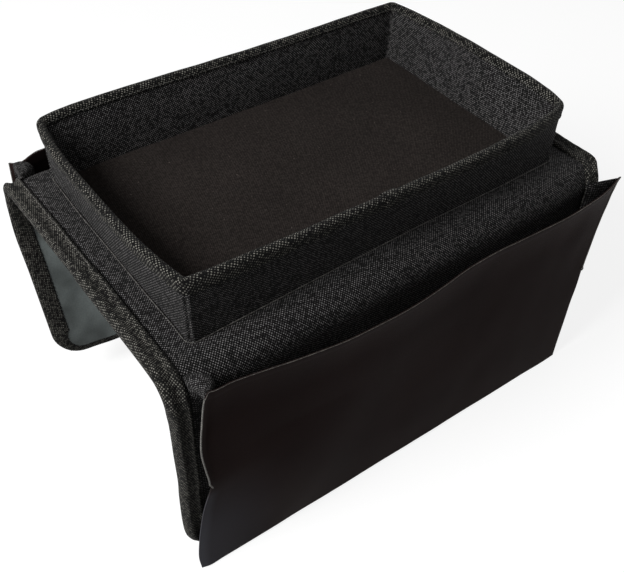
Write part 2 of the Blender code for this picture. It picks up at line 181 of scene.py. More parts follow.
FRONT_FOOT = mm((-170, 1.4, 3), (-163, -1.1, 2.6), (-154, -0.7, 2.8), (-134, 0.4, 2.8),
                (-115, 1.4, 2.8), (-92, 1.2, 2.8), (-70, 1.4, 1.9), (-48, 1.6, 1.2),
                (-12, 1.8, 0.8), (12, 2.4, -0.6), (38, 2.9, -1.5), (64, 2.7, -1.3), (91, 2, -1.3),
                (120, 1.2, -1.4), (149, -0.2, -1.6), (170, 0.2, -1.4))
BACK_FOOT = mm((-170, 7.5, 0), (-155, 4.5, 0), (-120, 0, 0), (120, 0, 0), (155, 4.5, 0),
               (170, 7.5, 0))
FRONT_EDGE = mm((0, -5.5, 3), (15, -6.9, 3.6), (32, -6, 4.1), (48, -4.3, 4.4), (70, -1.7, 3.8),
                (85, 1, 2.4), (96, 3.2, 0.8), (105, 3.2, 0), (121, 1.4, 0), (138, 0.2, 0),
                (163, 2.5, 0), (186, 3, 0), (197, 2.9, 0))
BACK_EDGE = mm((0, 0, 0), (120, 0, 0), (150, 1.2, 0), (172, 2, 0))
FRONT_FAR_EDGE = mm((0, -0.8), (25, -2.4), (50, -2.5), (70, -2.4), (85, -1), (105, -0.1),
                    (122, 1.6), (138, 2.6), (153, 4.2), (160, 4.9), (167, 4.5), (174, 3.4),
                    (181, 2.2), (190, -0.6), (197, -2.2))
FRONT_SPREAD = mm((0, 0), (50, -0.2), (80, -0.5), (94, -0.9), (104, -1.3), (112, -1.4),
                  (121, -1.2), (133, -0.4), (163, 0), (190, 0.4), (203, -0.2), (230, -0.5),
                  (248, 0), (261, -0.6))
FRONT_FAR_SPREAD = mm((0, 0), (98, 0), (102, -0.8), (106, -3.8), (110, -5), (118, -4.8),
                      (130, -3.8), (160, -1.2), (190, 0), (261, 0))
BACK_SPREAD = mm((0, 0), (90, -0.3), (103, -0.6), (114, -0.2), (124, -0.6), (146, -0.7),
                 (165, -0.4), (180, 0), (261, 0.3))
FRONT_HANG = mm((-180, 4.5), (-150, 4.5), (-100, 0), (180, 0))
BACK_HANG = mm((-180, 0), (-165, 1), (-150, 2.6), (-135, 4.7), (-115, 5.5), (115, 5.5), (180, 0))
EVEN = mm((0, 0), (261, 0))
print("the front mouth bows out by up to", max(row[1] for row in FRONT_MOUTH), "m")

# %% [markdown]
# ## Front and back
#
# The two flaps and their pockets are sewn alike. They differ only in a few sizes and in how they
# hang, so a Side holds what differs, and each function below makes a piece for either side.

# %% Front and back
class Side(NamedTuple):
    """What differs between the front and the back of the mat and their pockets."""
    name: str
    sign: int
    shoulder: float
    plumb: float
    lean: float
    drop: float
    ear: float
    flare: float
    mouth: tuple
    foot: tuple
    edge: tuple
    far_edge: tuple
    spread: tuple
    far_spread: tuple
    hang: tuple
    bulge: float
    swell: float
    piping_low: float


FRONT = Side("front", sign=-1, shoulder=0.018, plumb=0.045, lean=math.radians(-1), drop=0.027,
             ear=0.010, flare=math.radians(22), mouth=FRONT_MOUTH, foot=FRONT_FOOT,
             edge=FRONT_EDGE, far_edge=FRONT_FAR_EDGE, spread=FRONT_SPREAD,
             far_spread=FRONT_FAR_SPREAD, hang=FRONT_HANG, bulge=0.0022, swell=0.0035,
             piping_low=0.103)
BACK = Side("back", sign=1, shoulder=0.009, plumb=0.028, lean=math.radians(16), drop=0.008,
            ear=0.004, flare=math.radians(2), mouth=BACK_MOUTH, foot=BACK_FOOT, edge=BACK_EDGE,
            far_edge=EVEN, spread=BACK_SPREAD, far_spread=EVEN, hang=BACK_HANG, bulge=0.0,
            swell=0.0, piping_low=0.060)
SIDES = (FRONT, BACK)
for side in SIDES:
    print(side.name, "flap leans in by", round(math.degrees(side.lean)), "degrees")

# %% [markdown]
# ## A walk along a course
#
# Cloth is cut flat and then hangs. Seen from the side, its way is a course: a few lengths, each
# with how far it turns on the way. walk() tells where a distance along the course ends up.

# %% A walk along a course
def walk(start, course, distance):
    """The place and heading at a distance along straight and bent lengths, and straight on after."""
    y, z, heading = start
    for length, turn in course:
        step = min(distance, length)
        if turn:
            radius = length / turn
            after = heading + step / radius
            y += radius * (math.sin(after) - math.sin(heading))
            z += radius * (math.cos(after) - math.cos(heading))
            heading = after
        else:
            y += step * math.cos(heading)
            z -= step * math.sin(heading)
        distance -= step
    return y + distance * math.cos(heading), z - distance * math.sin(heading), heading


quarter = (0.1 * math.pi / 2, math.pi / 2)
turned = walk((0, 0, 0), [quarter], quarter[0])
print("a quarter turn with a radius of 0.1 m ends at", [round(value, 3) for value in turned])

# %% [markdown]
# ## Over the arm
#
# The mat lies flat on the arm, bends over the shoulder, hangs plumb and then leans in. A point of
# it is given as it is on the cutting table: x along the arm, s from the mat's middle and n above
# its underside. on_mat() lays that point in its place, so a piece never stretches by mistake.

# %% The mat's course
HANG_ZONE, SPREAD_ZONE = 0.060, 0.050
BULGE_ZONE, BULGE_ABOVE, BULGE_WIDTH = 0.040, 0.012, 0.010


def flat_half(side):
    return SADDLE_WIDTH / 2 - side.shoulder


def flap_start(side):
    return flat_half(side) + (side.shoulder - MAT / 2) * math.pi / 2


def lean_length(side, out):
    return (math.copysign(LEAN_RADIUS, side.lean) + out) * side.lean


def mat_course(side):
    return [(flat_half(side), 0), (flap_start(side) - flat_half(side), math.pi / 2),
            (side.plumb, 0), (lean_length(side, 0), side.lean)]


def on_mat(side, x, s, n):
    """A point of the mat: x along the arm, s from the mat's middle, n above its underside."""
    s += stations(side.hang, x)[0] * fade(s, FLAP_END - HANG_ZONE, FLAP_END)
    y, z, heading = walk((0, MAT / 2, 0), mat_course(side), s)
    bulge = groove(s - flap_start(side) + BULGE_ABOVE, BULGE_WIDTH)
    bulge *= fade(x, MAT_HALF - BULGE_ZONE, MAT_HALF)
    out = n - MAT / 2 + side.bulge * bulge
    x += (stations(side.spread, s)[0] * fade(-x, MAT_HALF - SPREAD_ZONE, MAT_HALF)
          + stations(side.far_spread, s)[0] * fade(x, MAT_HALF - SPREAD_ZONE, MAT_HALF))
    return Vector((x, side.sign * (y + out * math.sin(heading)), z + out * math.cos(heading)))


print("flaps start", [round(flap_start(side), 4) for side in SIDES], "m from the middle")

# %% [markdown]
# ## Down the pocket
#
# A pocket's panel starts at its bottom fold, outside the flap, and follows the flap up. Its last
# part flares away, so that the mouth stands open. Here s is the height above the fold and n how
# far a point stands outside the panel's own face.

# %% The pocket's course
EDGE_ZONE = 0.060
SWELL_PLACE, SWELL_WIDTH, SWELL_TOP = -0.105, 0.038, 0.62


def pocket_fold(side):
    y, z, heading = walk((0, MAT / 2, 0), mat_course(side), FLAP_END + side.drop)
    out = MAT / 2 + POCKET_DEPTH
    return y + out * math.sin(heading), z + out * math.cos(heading), heading - math.pi


def pocket_course(side):
    bend_end = flap_start(side) + side.plumb + lean_length(side, 0)
    bend = lean_length(side, MAT / 2 + POCKET_DEPTH)
    upper = side.plumb + side.shoulder + side.ear
    return [(FLAP_END + side.drop - bend_end, 0), (bend, -side.lean),
            (upper * (1 - FLARE_SHARE), 0), (upper * FLARE_SHARE, side.flare)]


def pocket_height(side):
    return sum(length for length, turn in pocket_course(side))


def mouth_height(side, x):
    return pocket_height(side) - stations(side.mouth, x)[1]


def on_panel(side, x, s, n):
    """A point of the pocket's panel: s above its bottom fold, n outwards from its cut face."""
    up = max(0, min(1, s / pocket_height(side)))
    mouth = stations(side.mouth, x)[0]
    lift, tuck = stations(side.foot, x)
    shift, curl = stations(side.edge, s)
    near, far = (fade(turn * x, POCKET_HALF - EDGE_ZONE, POCKET_HALF) for turn in (-1, 1))
    shift = shift * near + stations(side.far_edge, s)[0] * far
    out = n + mouth * up ** 2 + BELLY * math.sin(math.pi * up) - tuck * (1 - up) ** 2 - curl * near
    swell = groove(x - SWELL_PLACE, SWELL_WIDTH) * math.sin(math.pi * min(1, up / SWELL_TOP))
    out += side.swell * swell
    y, z, heading = walk(pocket_fold(side), pocket_course(side), s)
    return Vector((x + shift, side.sign * (y - out * math.sin(heading)),
                   z - out * math.cos(heading) + lift * (1 - up) ** 3))


print("panels", [round(pocket_height(side), 4) for side in SIDES], "m high")

# %% [markdown]
# ## Mixing a finish
#
# A finish is a small sum: so much colour here, so much less in the hollows of the weave, where the
# shade is painted. A Link wraps a socket, so that a sum on links adds its own Math nodes, and node()
# adds any other node.

# %% A socket that can be added and multiplied
class Link:
    """A node's output that takes part in Python sums; without a socket, only its tree."""

    def __init__(self, tree, socket=None):
        self.tree, self.socket = tree, socket

    def node(self, kind, settings=None, inputs=None, output=0):
        """Adds a node with its settings first, then the values or links of its sockets."""
        made = self.tree.nodes.new("ShaderNode" + kind)
        for name, value in (settings or {}).items():
            setattr(made, name, value)
        for name, value in (inputs or {}).items():
            if isinstance(value, Link):
                self.tree.links.new(value.socket, made.inputs[name])
            else:
                made.inputs[name].default_value = value
        return Link(self.tree, made.outputs[output])

    def math(self, operation, *values):
        return self.node("Math", {"operation": operation}, dict(enumerate((self, *values))))

    def __add__(self, other):
        return self.math("ADD", other)

    def __sub__(self, other):
        return self.math("SUBTRACT", other)

    def __rsub__(self, other):
        return (self * -1) + other

    def __mul__(self, other):
        return self.math("MULTIPLY", other)

    def __pow__(self, other):
        return self.math("POWER", other)

    __radd__, __rmul__ = __add__, __mul__

    def clamp(self):
        return self.node("Clamp", None, {"Value": self})

    def fade(self, low, high):
        """0 below low, 1 above high and smooth in between."""
        return self.node("MapRange", {"interpolation_type": "SMOOTHSTEP"},
                         {"Value": self, "From Min": low, "From Max": high})


# %% [markdown]
# ## A new material
#
# Screen colours are easy to compare with a photograph, but shaders want linear ones, so rgb()
# turns one into the other. A Mix node blends two colours, because a Math node would turn them grey.
# What is the same all over a piece is set on the shader's own sockets.

# %% Colours and a new material
MIX_SHARE, MIX_FIRST, MIX_SECOND, MIX_RESULT = 0, 6, 7, 2


def blend_colours(share, first, second):
    return share.node("Mix", {"data_type": "RGBA"},
                      {MIX_SHARE: share, MIX_FIRST: first, MIX_SECOND: second}, MIX_RESULT)


def rgb(red, green, blue):
    """A screen colour of 0 to 255 as the linear one that shaders use."""
    return [*(((c / 255 + 0.055) / 1.055) ** 2.4 if c > 10 else c / 255 / 12.92
              for c in (red, green, blue)), 1]


def start_finish(name, **fixed):
    """A new material and a Link to its tree, with the values that are the same all over."""
    material = bpy.data.materials.new(name)
    material.use_nodes = True
    tree = material.node_tree
    shader = tree.nodes["Principled BSDF"]
    for socket, value in fixed.items():
        shader.inputs[socket.replace("_", " ")].default_value = value
    return material, Link(tree), shader


def plug(link, shader, socket):
    link.tree.links.new(link.socket, shader.inputs[socket])


print("screen grey 46 is", round(rgb(46, 46, 46)[0], 4), "as a linear value")

# %% [markdown]
# ## Woven cloth
#
# The outer cloth is a coarse plain weave: at each crossing one thread rises over the other. Two
# sine waves along the cloth's own UV map, which is in metres, give those crossings. The sign of
# their product says which thread is on top, and its size how high. Threads of one set face the
# light and those of the other turn away, so the two sets differ in tone as well as in height.

# %% The weave
def flat_place(link):
    """Links to a point's place on the flat cloth, across and along, in metres."""
    across = link.node("SeparateXYZ", None, {0: link.node("UVMap")})
    return across, Link(across.tree, across.socket.node.outputs[1])


def weave(link, pitch, slant=0.0):
    """Threads a pitch apart: their height, 0 to 1, and which of the two is on top, -1 to 1."""
    across, along = flat_place(link)
    first = ((across + along * slant) * (math.pi / pitch)).math("SINE")
    second = ((along - across * slant) * (math.pi / pitch)).math("SINE")
    over = first * second
    return over.math("ABSOLUTE") ** 0.5, over


# %% [markdown]
# ## One recipe for every cloth
#
# All the finishes here are woven or wound from yarn, so one recipe serves them all and a Cloth
# says what differs. One value sets how much lighter the threads that face the light are painted, a
# painted highlight, and another how dark the hollows are painted, a painted shade. Yarn is the
# unevenness along a thread, and the large soft clouds are patches of wear, which on the grey lining
# are made strong to paint its reflections. Lint is the pale specks on the floor cloth.

# %% What a cloth is like
class Cloth(NamedTuple):
    """What makes one woven finish differ from another: lengths in metres, shares of 0 to 1."""
    colour: tuple
    pitch: float
    depth: float
    contrast: float
    hollow_shade: float = 0.5
    roughness: float = 0.8
    specular: float = 0.08
    sheen: float = 0.02
    yarn: float = 0.5
    wear_and_reflection_clouds: float = 0.6
    cloud_scale: float = 18
    slant: float = 0.0
    lint: float = 0.0
    rubbed: float = 0.0


OBJECT_PLACE = 3


def patches(link, scale, detail=2.0):
    """Soft patches from 0 to 1 that stay on the piece as it moves."""
    place = link.node("TexCoord", None, None, OBJECT_PLACE)
    return link.node("TexNoise", None, {"Vector": place, "Scale": scale, "Detail": detail})


print(len(Cloth._fields), "values describe a cloth")

# %% [markdown]
# ## A painted reflection
#
# The front panel's lower left corner is painted paler and bluer, a painted reflection of the pale
# surroundings, and its rolled edge, a painted highlight, is the palest. The UV map is the place on
# the flat cloth, so it tells where that corner is.

# %% A painted reflection on a corner
# Where the painted reflection lies, and the painted highlight on the rolled edge.
REFLECTION_ALONG, REFLECTION_UP = (-0.172, -0.105), (0.03, 0.11)
ROLL_ALONG, ROLL_UP, ROLL_SHARE = (-0.168, -0.161), (0.085, 0.095), 0.4
REFLECTION_GREY = (84, 84, 90)


def rubbed_corner(link, rubbed):
    """How much painted reflection the corner has at a point: some on its face, more on its rolled
    edge.
    """
    along_arm, up = flat_place(link)
    corner = (1 - along_arm.fade(*REFLECTION_ALONG)) * (1 - up.fade(*REFLECTION_UP)) * rubbed
    roll = (1 - along_arm.fade(*ROLL_ALONG)) * (1 - up.fade(*ROLL_UP)) * ROLL_SHARE
    return (corner + roll).clamp()


# This prints how far the painted reflection reaches.
print("rubbed up to", round(POCKET_HALF + REFLECTION_ALONG[1], 3), "m from the panel's left edge")

# %% [markdown]
# ## From a cloth to a material
#
# The tone starts at 1 and each effect multiplies it. Last, it scales the cloth's colour, by mixing
# from black to a colour that is several times as bright. The weave's height also feeds a Bump node,
# so that the light catches the threads, and lowers the roughness on top of them.

# %% A woven finish
LIT_THREADS = (-0.2, 0.95)
MEAN_TONE = 0.184
HOLLOW_SHARE = 0.75
BRIGHTEST = 8
LINT_SCALE, LINT_EDGE = 420, (0.70, 0.74)
YARN_SCALE, YARN_EDGE = 0.5, (0.35, 0.65)
TOP_GLOSS, BUMP_STRENGTH, SHEEN_SPREAD = -0.1, 0.7, 0.5


def cloth_finish(name, cloth):
    """A woven finish: painted highlights and hollow shade on the weave, uneven yarn and faint
    clouds.
    """
    material, link, shader = start_finish(name, Sheen_Weight=cloth.sheen,
                                          Sheen_Roughness=SHEEN_SPREAD,
                                          Specular_IOR_Level=cloth.specular)
    height, over = weave(link, cloth.pitch, cloth.slant)
    # Painted highlight and painted shade: threads that face the light are painted lighter, hollows
    # darker.
    tone = over.fade(*LIT_THREADS) ** 2 * (cloth.contrast / MEAN_TONE) + (1 - cloth.contrast)
    tone = tone * (height * cloth.hollow_shade + (1 - HOLLOW_SHARE * cloth.hollow_shade))
    yarn = patches(link, YARN_SCALE / cloth.pitch, 1).fade(*YARN_EDGE)
    tone = tone * ((yarn - 0.5) * cloth.yarn + 1)
    tone = tone * ((patches(link, cloth.cloud_scale) - 0.5) * cloth.wear_and_reflection_clouds + 1)
    if cloth.lint:
        tone = tone + patches(link, LINT_SCALE, 3).fade(*LINT_EDGE) * cloth.lint
    brightest = [BRIGHTEST * c for c in rgb(*cloth.colour)[:3]] + [1]
    colour = blend_colours((tone * (1 / BRIGHTEST)).clamp(), rgb(0, 0, 0), brightest)
    # The corner is mixed towards a pale blue-grey: a painted reflection.
    if cloth.rubbed:
        colour = blend_colours(rubbed_corner(link, cloth.rubbed), colour, rgb(*REFLECTION_GREY))
    plug(colour, shader, "Base Color")
    plug((height * TOP_GLOSS + cloth.roughness).clamp(), shader, "Roughness")
    bump = link.node("Bump", None, {"Strength": BUMP_STRENGTH, "Distance": cloth.depth,
                                    "Height": height})
    plug(bump, shader, "Normal")
    return material


OXFORD = cloth_finish("oxford", Cloth((46, 45, 45), pitch=0.00095, depth=0.0004, contrast=0.96,
                                      yarn=1.6))
TAPE = cloth_finish("tape", Cloth((48, 47, 44), pitch=0.0010, depth=0.0004, contrast=0.80,
                                  yarn=1.8, slant=0.35))
RIM_CLOTH = cloth_finish("rim_tape", Cloth((46, 45, 42), pitch=0.0012, depth=0.0005,
                                           contrast=0.99, hollow_shade=0.6, yarn=2.0, slant=0.2))
print(len(OXFORD.node_tree.nodes), "nodes in the coarse cloth's finish")

# %% [markdown]
# ## Smooth cloth, thread and board
#
# The pockets are a smooth nylon whose weave hardly shows, the floor is a matt cloth with lint, and
# the mat's lining is grey, with large soft clouds that are painted reflections on its satin face.
# Thread is the same yarn in four tones.

# %% The other finishes
SMOOTH = Cloth((38, 29, 28), pitch=0.0005, depth=0.00003, contrast=0.1, hollow_shade=0.2, roughness=0.55,
               specular=0.006, sheen=0.01, yarn=0.1)
NYLON = cloth_finish("nylon", SMOOTH)
# This nylon has the painted reflection on its lower left corner.
PANEL = cloth_finish("rubbed_nylon", SMOOTH._replace(rubbed=0.6))
FLOOR = cloth_finish("floor_cloth", Cloth((37, 33, 31), pitch=0.0008, depth=0.0001, contrast=0.3,
                                          hollow_shade=0.4, roughness=0.95, specular=0.05, sheen=0.01,
                                          yarn=0.6, lint=2.5))
# The lining's strong clouds are painted reflections.
LINING = cloth_finish("grey_lining", Cloth((106, 112, 111), pitch=0.0006, depth=0.00004,
                                           contrast=0.05, hollow_shade=0.1, roughness=0.45, specular=0.2,
                                           sheen=0.0, yarn=0.1, wear_and_reflection_clouds=2.6, cloud_scale=30))
YARN = Cloth((112, 110, 106), pitch=0.0006, depth=0.0001, contrast=0.3, hollow_shade=0.4, roughness=0.6,
             specular=0.2, yarn=0.6)
THREAD = cloth_finish("thread", YARN)
DULL_THREAD = cloth_finish("dull_thread", YARN._replace(colour=(82, 80, 77), yarn=1.2))
BLACK_THREAD = cloth_finish("black_thread", YARN._replace(colour=(78, 77, 75)))
# Near-black thread for painted shade along the tape's inner edge.
SHADE_THREAD = cloth_finish("shade_thread", YARN._replace(colour=(34, 33, 33), specular=0.1,
                                                        sheen=0.0))
BOARD = cloth_finish("board", Cloth((120, 112, 100), pitch=0.004, depth=0.0001, contrast=0.05,
                                    hollow_shade=0.1, roughness=0.85, specular=0.1, sheen=0.0))
print(len(bpy.data.materials), "materials")

# %% [markdown]
# ## Laying cloth
#
# Every piece starts as a grid, which is how cloth is woven. Its points are then moved to where
# they hang, and its UV map keeps the flat place of each, in metres, so that no thread stretches.
# A ring, such as the tray's cover, is a grid whose first and last columns are merged.

# %% A grid of cloth
def deselect():
    bpy.ops.object.select_all(action="DESELECT")


def select_only(piece):
    deselect()
    piece.select_set(True)
    bpy.context.view_layer.objects.active = piece


def write_flat(mesh, layer, flat):
    """Fills a UV layer with each vertex's place on the flat cloth."""
    for loop in mesh.loops:
        layer[loop.index].uv = flat[loop.vertex_index]


def cloth_grid(name, columns, rows, place, faces, ring=False):
    """Adds a grid and moves each point to place(column, row), which gives its point and UV.

    faces is the way that the first face should look, and a ring is sewn up along its last column.
    """
    deselect()
    bpy.ops.mesh.primitive_grid_add(x_subdivisions=columns - 1, y_subdivisions=rows - 1, size=2)
    cloth = bpy.context.object
    cloth.name = cloth.data.name = name
    flat = []
    for vertex in cloth.data.vertices:
        column = round((vertex.co.x + 1) / 2 * (columns - 1))
        row = round((vertex.co.y + 1) / 2 * (rows - 1))
        vertex.co, uv = place(column, row)
        flat.append(uv)
    write_flat(cloth.data, cloth.data.uv_layers.active.data, flat)
    bpy.ops.object.mode_set(mode="EDIT")
    bpy.ops.mesh.select_all(action="SELECT")
    if ring:
        bpy.ops.mesh.remove_doubles(threshold=TINY)
    if cloth.data.polygons[0].normal.dot(Vector(faces)) < 0:
        bpy.ops.mesh.flip_normals()
    bpy.ops.object.mode_set(mode="OBJECT")
    return cloth


print("a grid of 3 columns and 2 rows has", 3 * 2, "points and", (3 - 1) * (2 - 1), "faces")

# %% [markdown]
# ## Thickness
#
# Solidify gives a grid its thickness, always away from the side that shows, and closes its edges.
# The hidden side may have a finish of its own, as the mat's lining has. The volume is measured as a
# test, because a closed piece that faces outwards has a volume above 0.

# %% Thickness and finish
SMOOTH_UNDER = math.radians(40)


def volume(piece):
    shape = bmesh.new()
    shape.from_mesh(piece.data)
    value = shape.calc_volume(signed=True)
    shape.free()
    return value


def sewn(piece, thickness, materials):
    """Gives cloth its thickness and its finish, the second one on the hidden side."""
    for material in materials:
        piece.data.materials.append(material)
    modifier = piece.modifiers.new("Solidify", "SOLIDIFY")
    modifier.thickness, modifier.offset, modifier.use_quality_normals = thickness, -1, True
    modifier.material_offset = len(materials) - 1
    select_only(piece)
    bpy.ops.object.modifier_apply(modifier=modifier.name)
    bpy.ops.object.shade_smooth_by_angle(angle=SMOOTH_UNDER)
    print(piece.name, len(piece.data.polygons), "faces,", round(volume(piece) * 1e6, 1), "cm3")


# %% [markdown]
# ## The mat
#
# Foam between the outer cloth and a grey lining makes one padded sheet. A cloth simulation could
# puff it up, but at 4.4 mm it is thinner than such a simulation can hold. So it is a grid that is
# thickened, and its face is then lifted a little unevenly, and drawn down along its tape.

# %% The mat's grid
CORNER_STEPS = 12
MAT_COLUMNS, MAT_ROWS = 181, 110
CORNER_AT = FLAP_END - FLAP_CORNER
mat_rows = between(0, CORNER_AT, MAT_ROWS) + [CORNER_AT + (FLAP_CORNER - EDGE) * math.sin(a)
                                              for a in between(0, math.pi / 2, CORNER_STEPS)[1:]]


def mat_width(s, inset):
    """Half the mat's width at a distance from its middle, where its free corners are round."""
    over = max(0, s - CORNER_AT)
    radius = FLAP_CORNER - inset
    return MAT_HALF - FLAP_CORNER + math.sqrt(max(radius ** 2 - over ** 2, 0))


print("half as wide at the end as", round(mat_width(mat_rows[-1], EDGE), 4), "m")

# %% [markdown]
# ## Uneven foam
#
# Smooth noise stands for the foam's lumps: large ones 45 mm apart and small ones 18 mm apart. They
# fade out towards the tape, where the stitches hold the cloth down and leave a hollow.

# %% Uneven foam
LUMPS = ((0.045, 0.0006, 0), (0.018, 0.0002, 4))
LUMP_FADE = 0.012
HOLLOW, HOLLOW_PLACE, HOLLOW_WIDTH = 0.0010, 0.0008, 0.0020


def uneven(x, y, size, depth, seed=0.0):
    return depth * noise.noise(Vector((x / size, y / size, seed)))


def foam_lift(side, x, s):
    """How far the outer cloth stands above or below an even mat."""
    to_tape = min(MAT_HALF - abs(x), FLAP_END - s) - MAT_TAPE
    foam = sum(uneven(x, s * side.sign, *lump) for lump in LUMPS)
    return foam * fade(to_tape, 0, LUMP_FADE) - HOLLOW * groove(to_tape - HOLLOW_PLACE, HOLLOW_WIDTH)


lifts = [foam_lift(FRONT, x / 100, 0.1) for x in range(-17, 18)]
print("the foam lifts the cloth by", round(min(lifts), 5), "to", round(max(lifts), 5), "m")

# %% [markdown]
# ## Two halves that bend
#
# Each half of the mat runs from under the tray over the shoulder and down the flap.

# %% Both halves of the mat
def bend_with_flap(piece, side):
    """Bakes a piece's place into its points; the shoulder's two ends are found but not used."""
    start, end = (on_mat(side, 0, s, MAT / 2) for s in (flat_half(side), flap_start(side)))
    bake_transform(piece)


def mat_half(side):
    def place(column, row):
        s = mat_rows[row]
        x = (2 * column / (MAT_COLUMNS - 1) - 1) * mat_width(s, EDGE)
        laid.append((x, s))
        return on_mat(side, x, s, MAT), (x, side.sign * s)

    laid = []
    piece = cloth_grid(f"{side.name}_mat", MAT_COLUMNS, len(mat_rows), place, (0, 0, 1))
    sewn(piece, MAT, [OXFORD, LINING])
    for vertex, (x, s) in zip(piece.data.vertices, laid):
        vertex.co = on_mat(side, x, s, MAT + foam_lift(side, x, s))
    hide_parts("saddle_shell", "saddle_foam", "saddle_lining", f"{side.name}_shoulder",
                *(f"{side.name}_flap_{part}" for part in ("shell", "foam", "lining")))
    bend_with_flap(piece, side)


for side in SIDES:
    mat_half(side)

# %% [markdown]
# ## The mat's edge
#
# The tape, its stitches and the seam behind it all follow the mat's edge. So the edge is walked
# once, from the middle of the left end round the flap to the right: a list of places, each with
# the way inwards and how far along the tape it is.

# %% The mat's edge
EDGE_STEPS, BOTTOM_STEPS = 100, 90


def mat_edge():
    """The mat's edge from the middle of its left end round to the right: x, s, the way in, run."""
    left = [(-MAT_HALF, s, 1, 0) for s in between(0, CORNER_AT, EDGE_STEPS)]
    for a in between(0, math.pi / 2, CORNER_STEPS)[1:]:
        left.append((-MAT_HALF + FLAP_CORNER * (1 - math.cos(a)),
                     CORNER_AT + FLAP_CORNER * math.sin(a), math.cos(a), -math.sin(a)))
    last = left[-1][0]
    bottom = [(x, FLAP_END, 0, -1) for x in between(last, -last, BOTTOM_STEPS)[1:-1]]
    path = left + bottom + [(-x, s, -dx, ds) for x, s, dx, ds in reversed(left)]
    run, edge = 0, []
    for i, (x, s, dx, ds) in enumerate(path):
        run += math.dist(path[i - 1][:2], (x, s)) if i else 0
        edge.append((x, s, dx, ds, run))
    return edge


print(len(mat_edge()), "places,", round(mat_edge()[-1][-1], 3), "m of tape for each half")

# %% [markdown]
# ## The mat's binding
#
# Tape is folded over the raw edge and sewn down through all the plies. It could be a bevelled
# curve, but a curve has one even section. Here the section is drawn once, in distances inwards and
# upwards, and laid at each place of the edge with its own small waves. The outer roll is full, the
# middle sinks, and the turned-in edge makes a ridge beside the seam. Behind the bottom edge the
# tape's inner leg is narrower.

# %% Tape over an edge
MAT_FOLD = [(0.0121, MAT - 0.0003), (0.0121, MAT + 0.0008), (0.0114, MAT + 0.0016),
            (0.0105, MAT + 0.0018), (0.0097, MAT + 0.0012), (0.0084, MAT + 0.0004),
            (0.0064, MAT + 0.0002), (0.0048, MAT + 0.0009), (0.0036, MAT + 0.0016),
            (0.0024, MAT + 0.0019), (0.0010, MAT + 0.0011), (-0.0001, MAT - 0.0006),
            (-0.0005, MAT / 2), (-0.0002, 0.0005), (0.0010, -0.0005), (0.0030, -0.0009),
            (0.0070, -0.0009), (0.0100, -0.0009), (0.0120, -0.0007)]
INNER_NARROW, INNER_FROM = 0.68, 0.002
PUCKER, PUCKER_DEPTH, PUCKER_SEED = 0.006, 0.0003, 5
WANDER, WANDER_DEPTH, WANDER_FROM = 0.03, 0.0005, 0.009
TAPE_CLOTH = 0.0005


def inner_share(ds):
    """How much of its width the tape's inner leg keeps: less where the way in is up the flap."""
    return 1 - INNER_NARROW * abs(ds)


def section_run(section):
    runs = [0]
    for first, second in zip(section, section[1:]):
        runs.append(runs[-1] + math.dist(first, second))
    return runs


def mat_binding(side):
    edge, runs = mat_edge(), section_run(MAT_FOLD)

    def place(column, row):
        x, s, dx, ds, run = edge[column]
        w, n = MAT_FOLD[row]
        n += uneven(run, w * 2, PUCKER, PUCKER_DEPTH, PUCKER_SEED) if n > MAT / 2 else 0
        w *= inner_share(ds) if n < 0 and w > INNER_FROM else 1
        w += uneven(run, side.sign, WANDER, WANDER_DEPTH) if w > WANDER_FROM else 0
        return on_mat(side, x + w * dx, s + w * ds, n), (run, runs[row])

    piece = cloth_grid(f"{side.name}_binding", len(edge), len(MAT_FOLD), place, (0, 0, 1))
    sewn(piece, TAPE_CLOTH, [TAPE])
    ends = [f"{name}_{end}" for name in ("saddle_binding", f"{side.name}_shoulder_binding")
            for end in ("left", "right")]
    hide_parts(*ends, f"{side.name}_flap_binding")
    bend_with_flap(piece, side)


for side in SIDES:
    mat_binding(side)

# %% [markdown]
# ## One stitch
#
# A stitch is a short, bulging length of thread that dives into the cloth at both ends. It is made
# once from a small sphere with few faces, because there are hundreds of stitches. The sphere's
# faces come in another order at each run, so they are sorted, which makes all runs the same.

# %% One stitch
THREAD_HALF = 0.0004
STITCH_MIDDLE, STITCH_HALF_HEIGHT, STITCH_DIVE = 0.3, 0.7, 0.6
ROUND_UNDER = math.radians(60)


def one_stitch():
    """The points and faces of a stitch that lies along X with its underside at z 0."""
    deselect()
    bpy.ops.mesh.primitive_uv_sphere_add(segments=6, ring_count=5, radius=1,
                                         rotation=(0, math.pi / 2, 0))
    bpy.ops.object.transform_apply()
    ball = bpy.context.object
    points = [(v.co.x, v.co.y,
               STITCH_MIDDLE + STITCH_HALF_HEIGHT * v.co.z - STITCH_DIVE * v.co.x ** 4)
              for v in ball.data.vertices]
    faces = sorted(tuple(face.vertices) for face in ball.data.polygons)
    bpy.data.objects.remove(ball)
    return points, faces


STITCH_POINTS, STITCH_FACES = one_stitch()
print("a stitch has", len(STITCH_POINTS), "points and", len(STITCH_FACES), "faces")

# %% [markdown]
# ## Places for stitches
#
# A row repeats the stitch along a path at an even step. At each place it needs the way along the
# seam, to lie on, and the way out of the cloth, to stand on.

# %% Places along a path
def evenly(path, step):
    """Places a step apart along a path of points and their outward directions."""
    places, left = [], step / 2
    for (here, out), (there, _) in zip(path, path[1:]):
        length = (there - here).length
        while left <= length:
            along = (there - here).normalized()
            places.append((here + along * left, along, out))
            left += step
        left -= length
    return places


seam = [(Vector((0, 0, 0)), Vector((0, 0, 1))), (Vector((0.1, 0, 0)), Vector((0, 0, 1)))]
print(len(evenly(seam, 0.0036)), "stitches in 0.1 m")

# %% [markdown]
# ## Sewing a row
#
# All stitches of a row are one mesh, because they move together and that keeps the list of pieces
# short. A mesh made from data has no sure direction, so its normals are made to face outwards.

# %% A row of stitches
LENGTH_VARIES, VARIES_STEP = 0.15, 1.7


def new_object(name, data):
    made = bpy.data.objects.new(name, data)
    bpy.context.scene.collection.objects.link(made)
    return made


